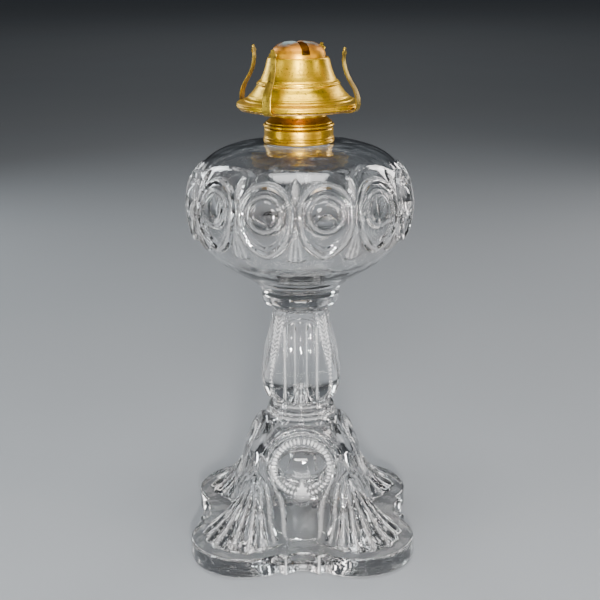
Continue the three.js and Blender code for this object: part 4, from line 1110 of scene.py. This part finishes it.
def flat_ring(half_x, half_y, corner, per_corner=8, per_side=40):
    """A rounded rectangle, anticlockwise, with points along its long sides too."""
    line = []
    for turn in range(4):
        angle = np.linspace(0, QUARTER, per_corner) + turn * QUARTER
        centre_x = (half_x - corner) * (1 if turn in (0, 3) else -1)
        centre_y = (half_y - corner) * (1 if turn in (0, 1) else -1)
        line.append(polar(corner, angle, 0)[:, :2] + (centre_x, centre_y))
        if turn in (1, 3):
            start, end = line[-1][-1], line[-1][-1] * (1, -1)
            share = np.linspace(0, 1, per_side)[1:-1, None]
            line.append(start + (end - start) * share)
    return np.vstack(line)


def raised(ring, height):
    return np.concatenate([ring, np.full((len(ring), 1), height)], axis=1)


def make_tube():
    outer = flat_ring(*TUBE_HALF, 1.7)
    inner = flat_ring(TUBE_HALF[0] - TUBE_WALL, TUBE_HALF[1] - TUBE_WALL, 1.2)
    shrunk = outer * (1 - TUBE_EDGE / TUBE_HALF[0] / 4)
    low, high = TUBE_Z
    rows = [raised(shrunk, low), raised(outer, low + TUBE_EDGE), raised(outer, high - TUBE_EDGE),
            raised(shrunk, high), raised(inner, high), raised(inner, low)]
    tube = piece_of("flat_wick_tube", with_burner(rows), DARK_BRASS, "burner", "wick_tube")
    half_y, half_z = WHEEL_WINDOW_HALF
    for y in WHEEL_PLACES:
        low_corner = (WHEEL_WINDOW_X[0], y - half_y, SPINDLE_Z - half_z)
        high_corner = (WHEEL_WINDOW_X[1], y + half_y, SPINDLE_Z + half_z)
        cut_away(tube, block_cutter(low_corner, high_corner))


def make_vent():
    rows = turned_rows(filleted(VENT, 0.1, 2, closed=True), ROD_COLUMNS) + (VENT_X, 0, 0)
    piece_of("vapour_vent", with_burner(rows), DARK_BRASS, "burner", "vent_tube")


def make_wick():
    """A woven strip, its threads pressed into the mesh, with an uneven top."""
    ring = flat_ring(*(half - 0.1 for half in WICK_HALF), 1.0, 10, 120)
    run = run_lengths(np.vstack([ring, ring[:1]]))[:-1]
    outward = ring / np.array(WICK_HALF) ** 4
    outward /= np.linalg.norm(outward, axis=1)[:, None]
    heights = np.arange(*WICK_Z, ROW_HEIGHT)
    heights[-1] = WICK_Z[1]
    rows = []
    for height in heights:
        weave = np.sin(TURN * run / THREAD_PITCH) * np.sin(TURN * height / THREAD_PITCH)
        fray = 0.25 * np.sin(run * 5.3) * np.sin(run * 1.7) * smooth_step(height, WICK_Z[1] - 1.5, WICK_Z[1])
        row = raised(ring + outward * (weave * THREAD_DEPTH)[:, None], height)
        rows.append(row - np.abs(fray)[:, None] * (0, 0, 1))
    ends = with_burner([(0, 0, WICK_Z[0]), (0, 0, WICK_Z[1] - 0.2)])
    mesh = ring_mesh("flat_wick", with_burner(rows), ends)
    finished(link("flat_wick", mesh, WICK), "wick", "wick")


# Winder: spindle, spur wheels, bracket, ferrule and knob

SPINDLE_RADIUS = 1.1
SPINDLE_Y = (-12.8, 38.6)
SPINDLE_BEVEL = 0.3
HOLE_RADIUS = 1.25
WHEEL_RADIUS = 3.6
WHEEL_TOOTH = 0.8
WHEEL_TEETH = 10
WHEEL_THICKNESS = 1.2
BRACKET_Y = -12.0
BRACKET_THICKNESS = 0.8
BRACKET_X = (2.35, 7.45)
BRACKET_HALF_Z = 2.45
FERRULE_LENGTH = 3.6
FERRULE_SINK = 0.6
KNOB_Y = 36.3
KNOB_NOTCHES = 44
KNOB_NOTCH = 0.35
KNOB = [
    (2.4, 0.0), (3.4, 0.5), (6.2, 0.6), (6.9, 0.25), (7.6, 0.1), (8.0, 0.5), (8.0, 0.9), (7.7, 1.3),
    (7.0, 1.4), (6.6, 1.1), (6.2, 1.0), (5.6, 1.25), (4.9, 1.3), (4.4, 1.1), (3.6, 1.15), (2.6, 1.4),
    (1.3, 1.4), (1.25, 1.3), (1.25, 0.1), (1.35, 0.0),
]


def make_spindle():
    start, end = SPINDLE_Y
    radius, bevel = SPINDLE_RADIUS, SPINDLE_BEVEL
    line = [(radius - bevel, start), (radius, start + bevel), (radius, end - bevel), (radius - bevel, end)]
    rows = about_spindle(turned_rows(line, ROD_COLUMNS))
    ends = about_spindle([(0, 0, start), (0, 0, end)])
    piece_of("winder_spindle", rows, DARK_BRASS, "winder", "wick_spindle", ends)


def make_wheel(number, y):
    angle = angles_round(WHEEL_TEETH * 12)
    share = np.abs((angle * WHEEL_TEETH / TURN) % 1 * 2 - 1)
    tooth = WHEEL_RADIUS - WHEEL_TOOTH * (1 - smooth_step(1 - share, 0.15, 0.85))
    half = WHEEL_THICKNESS / 2
    rows = []
    for inset, height in ((0.15, -half), (0, 0.12 - half), (0, half - 0.12), (0.15, half)):
        rows.append(polar(tooth - inset, angle, y + height))
    for height in (half, -half):
        rows.append(polar(HOLE_RADIUS, angle, y + height))
    rows = about_spindle(rows)
    piece_of(f"spur_{number}", rows, DARK_BRASS, "winder", f"spur_wheel_{number}")


def make_bracket():
    low_x, high_x = BRACKET_X
    outline = flat_ring(BRACKET_HALF_Z, (high_x - low_x) / 2, 0.8, 12, 24)
    outline += (0, (low_x + high_x) / 2 - SPINDLE_X)
    hole = polar(HOLE_RADIUS, np.arctan2(outline[:, 1], outline[:, 0]), 0)[:, :2]
    low, high = BRACKET_Y - BRACKET_THICKNESS / 2, BRACKET_Y + BRACKET_THICKNESS / 2
    rows = [raised(outline * 0.97, low), raised(outline, low + 0.1), raised(outline, high - 0.1),
            raised(outline * 0.97, high), raised(hole, high), raised(hole, low)]
    rows = about_spindle(rows)
    piece_of("bearing_bracket", rows, DARK_BRASS, "burner", "spindle_bracket")


def make_ferrule():
    start = math.sqrt(THROAT_RADIUS ** 2 - SPINDLE_X ** 2) - FERRULE_SINK
    end = start + FERRULE_LENGTH
    wall = [(1.85, start), (1.85, end - 0.5), (1.7, end - 0.1), (1.55, end), (HOLE_RADIUS, end),
            (HOLE_RADIUS, start)]
    rows = about_spindle(turned_rows(filleted(wall, 0.1, 2, closed=True), ROD_COLUMNS))
    piece_of("spindle_bush", rows, BRASS, "burner", "spindle_ferrule")


def make_knob():
    line = filleted(KNOB, 0.15, 2, closed=True) + (0, KNOB_Y)
    angle = angles_round(KNOB_NOTCHES * 8)
    rows = rows_at(line, angle)
    notch = KNOB_NOTCH * (0.5 - 0.5 * np.cos(angle * KNOB_NOTCHES)) * smooth_step(line[:, :1], 7.1, 7.9)
    rows[..., :2] *= (1 - notch / line[:, :1])[..., None]
    piece_of("milled_knob", about_spindle(rows), BRASS, "winder", "thumb_knob")


# Spring prongs: a strip from under the plate, round the rim and up to a pierced trefoil

PRONG_PATH = [
    (27.9, 262.3), (30.6, 262.55), (33.6, 262.75), (35.6, 263.4), (37.1, 265.2), (37.3, 268.4), (36.7, 272.2),
    (35.0, 276.2), (32.2, 280.4), (29.8, 285.2), (28.6, 290.2), (28.9, 294.7),
]
PRONG_WIDTHS = [(0, 2.85), (6, 2.85), (14, 2.8), (22, 2.4), (30, 2.0), (37, 1.75), (41, 1.7)]
PRONG_HALF_THICKNESS = 0.4
PRONG_EDGE = 0.22
PRONG_EMBOSS = 0.12
PRONG_COUNT = 4
TREFOIL_LOBES = [(1.15, 0.0, 1.3), (0.0, 2.0, 1.3)]
PRONG_HOLE_AHEAD = 0.7
PRONG_HOLE_RADIUS = 0.52
DRILL_REACH = 1.5


def prong_half_width(run, length):
    """Half the strip's width; its end spreads into three round lobes."""
    half = np.interp(run, *np.array(PRONG_WIDTHS, float).T)
    half = half + 0.09 * np.sin(run * 1.7) * smooth_step(run, 12, 18)
    half = np.where(run > length, 0.25, half)
    for side, ahead, radius in TREFOIL_LOBES:
        inside = radius ** 2 - (run - length - ahead) ** 2
        half = np.maximum(half, np.where(inside > 0, side + np.sqrt(np.clip(inside, 0, None)), 0))
    return half


def upright(places, across=0):
    """Points of the prong's own plane, [distance from the axis, height], each set across it."""
    return np.stack(np.broadcast_arrays(places[..., 0], across, places[..., 1]), axis=-1)


def make_prong(number, turn):
    def placed(points):
        return with_burner(spun(points, turn))

    path = curve_through(PRONG_PATH, 0.3)
    length = run_lengths(path)[-1]
    onward = (path[-1] - path[-4]) / np.linalg.norm(path[-1] - path[-4])
    tip_length = TREFOIL_LOBES[1][1] + TREFOIL_LOBES[1][2] - 0.02
    tip = path[-1] + onward * np.append(np.arange(0.15, tip_length, 0.15), tip_length)[:, None]
    path = np.vstack([path, tip])
    run = run_lengths(path)
    tangent = directions_along(path)
    outward = np.stack([tangent[:, 1], -tangent[:, 0]], axis=1)
    across = np.linspace(-1, 1, 15)
    inset = np.where(np.abs(across) > 0.99, PRONG_EDGE, 0)
    rows = []
    for point, normal, width, at in zip(path, outward, prong_half_width(run, length), run):
        rib = PRONG_EMBOSS * (round_ridge(across, 0.45) - 0.5) * window(at, 14, 18, 33, 36)
        front = PRONG_HALF_THICKNESS - inset + rib
        back = -PRONG_HALF_THICKNESS + inset + rib
        outer = upright(point + normal * front[:, None], across * width)
        inner = upright(point + normal * back[:, None], across * width)
        rows.append(np.vstack([outer, inner[::-1]]))
    ends = placed([rows[0].mean(axis=0), rows[-1].mean(axis=0)])
    prong = piece_of(f"spring_prong_{number}", placed(rows), SPRING_BRASS, f"prong_{number}",
                     f"chimney_prong_{number}", ends)
    hole = path[np.argmin(np.abs(run - length - PRONG_HOLE_AHEAD))]
    reach = DRILL_REACH * np.array([-onward[1], onward[0]])
    drill_ends = upright(np.array([hole - reach, hole + reach]))
    circle = circle_points(PRONG_HOLE_RADIUS, 24)
    ring = upright(circle[:, 1:] * onward, circle[:, 0])
    drill = ring_mesh("drill", placed(drill_ends[:, None] + ring), placed(drill_ends))
    cut_away(prong, link("drill", drill, SPRING_BRASS))


make_collar()
make_screw()
make_base()
make_plate()
make_cone()
make_dome()
make_tube()
make_vent()
make_wick()
make_spindle()
for wheel_number, wheel_y in enumerate(WHEEL_PLACES, 1):
    make_wheel(wheel_number, wheel_y)
make_bracket()
make_ferrule()
make_knob()
for prong_number in range(1, PRONG_COUNT + 1):
    make_prong(prong_number, (2 * prong_number - 1) * math.pi / PRONG_COUNT)


# Stage: a plain pale floor and soft light

FLOOR_SIZE = 32.0
FLOOR_DROP = 0.0005
FLOOR_COLOUR = (0.25, 0.265, 0.28)
HORIZON = (0.03, 0.032, 0.036)
SKY = (0.09, 0.1, 0.11)
ZENITH = (0.03, 0.03, 0.035)
COOL = (0.92, 0.97, 1)
WARM = (1, 0.96, 0.94)


def floor_paint():
    look = Look("pale_floor")
    darker = tuple(value * 0.97 for value in FLOOR_COLOUR)
    return look.shaded({
        "Base Color": look.ramp(look.noise(3, 3.0), [(0.3, darker), (0.7, FLOOR_COLOUR)]),
        "Roughness": 0.6,
    })


def make_floor():
    reach = FLOOR_SIZE / 2 / MM
    corners = [(-reach, -reach, 0), (reach, -reach, 0), (reach, reach, 0), (-reach, reach, 0)]
    floor = link("floor", mesh_of("floor", corners, [np.array([[0, 1, 2, 3]])]), floor_paint())
    floor.location.z = -FLOOR_DROP


def make_world():
    look = Look("soft_studio", bpy.data.worlds)
    place = look.add("ShaderNodeTexCoord", "Generated", {})
    up = look.add("ShaderNodeSeparateXYZ", "Z", {"Vector": place})
    sky = look.ramp(up, [(0.02, HORIZON), (0.25, SKY), (1.0, ZENITH)])
    bpy.context.scene.world = look.shaded({"Color": sky, "Strength": 1.0}, "Background")


def make_light(name, position, target, size, power, colour=(1, 1, 1)):
    data = bpy.data.lights.new(name, "AREA")
    data.shape = "RECTANGLE"
    data.size, data.size_y = size
    data.energy = power
    data.color = colour
    light = bpy.data.objects.new(name, data)
    light.location = position
    light.visible_camera = False
    aim = np.array(target) - np.array(position)
    flat = math.hypot(aim[0], aim[1])
    light.rotation_euler = (math.atan2(flat, -aim[2]), 0, math.atan2(aim[1], aim[0]) - math.pi / 2)
    bpy.context.scene.collection.objects.link(light)


make_floor()
make_world()
make_light("left_softbox", (-0.8, 0.8, 0.6), (0, 0, 0.16), (0.15, 0.9), 6, COOL)
make_light("right_softbox", (0.85, 0.75, 0.65), (0, 0, 0.16), (0.17, 0.9), 7, WARM)
make_light("left_strip", (-0.6, -0.25, 0.3), (0, 0, 0.15), (0.04, 0.5), 1.2, COOL)
make_light("right_strip", (0.6, -0.25, 0.3), (0, 0, 0.15), (0.04, 0.5), 1.2, (1, 0.95, 0.93))
make_light("front_softbox", (0.0, -1.0, 0.72), (0, 0, 0.18), (0.3, 0.25), 8)
make_light("front_lamp", (0.03, -0.8, 0.26), (0, 0, 0.19), (0.065, 0.065), 13, (1, 0.97, 0.94))
make_light("top_softbox", (0.0, -0.2, 1.3), (0, 0, 0.2), (0.8, 0.5), 14)
make_light("far_softbox", (0.0, 3.6, 2.6), (0, 3.6, 0), (3.0, 1.0), 12)
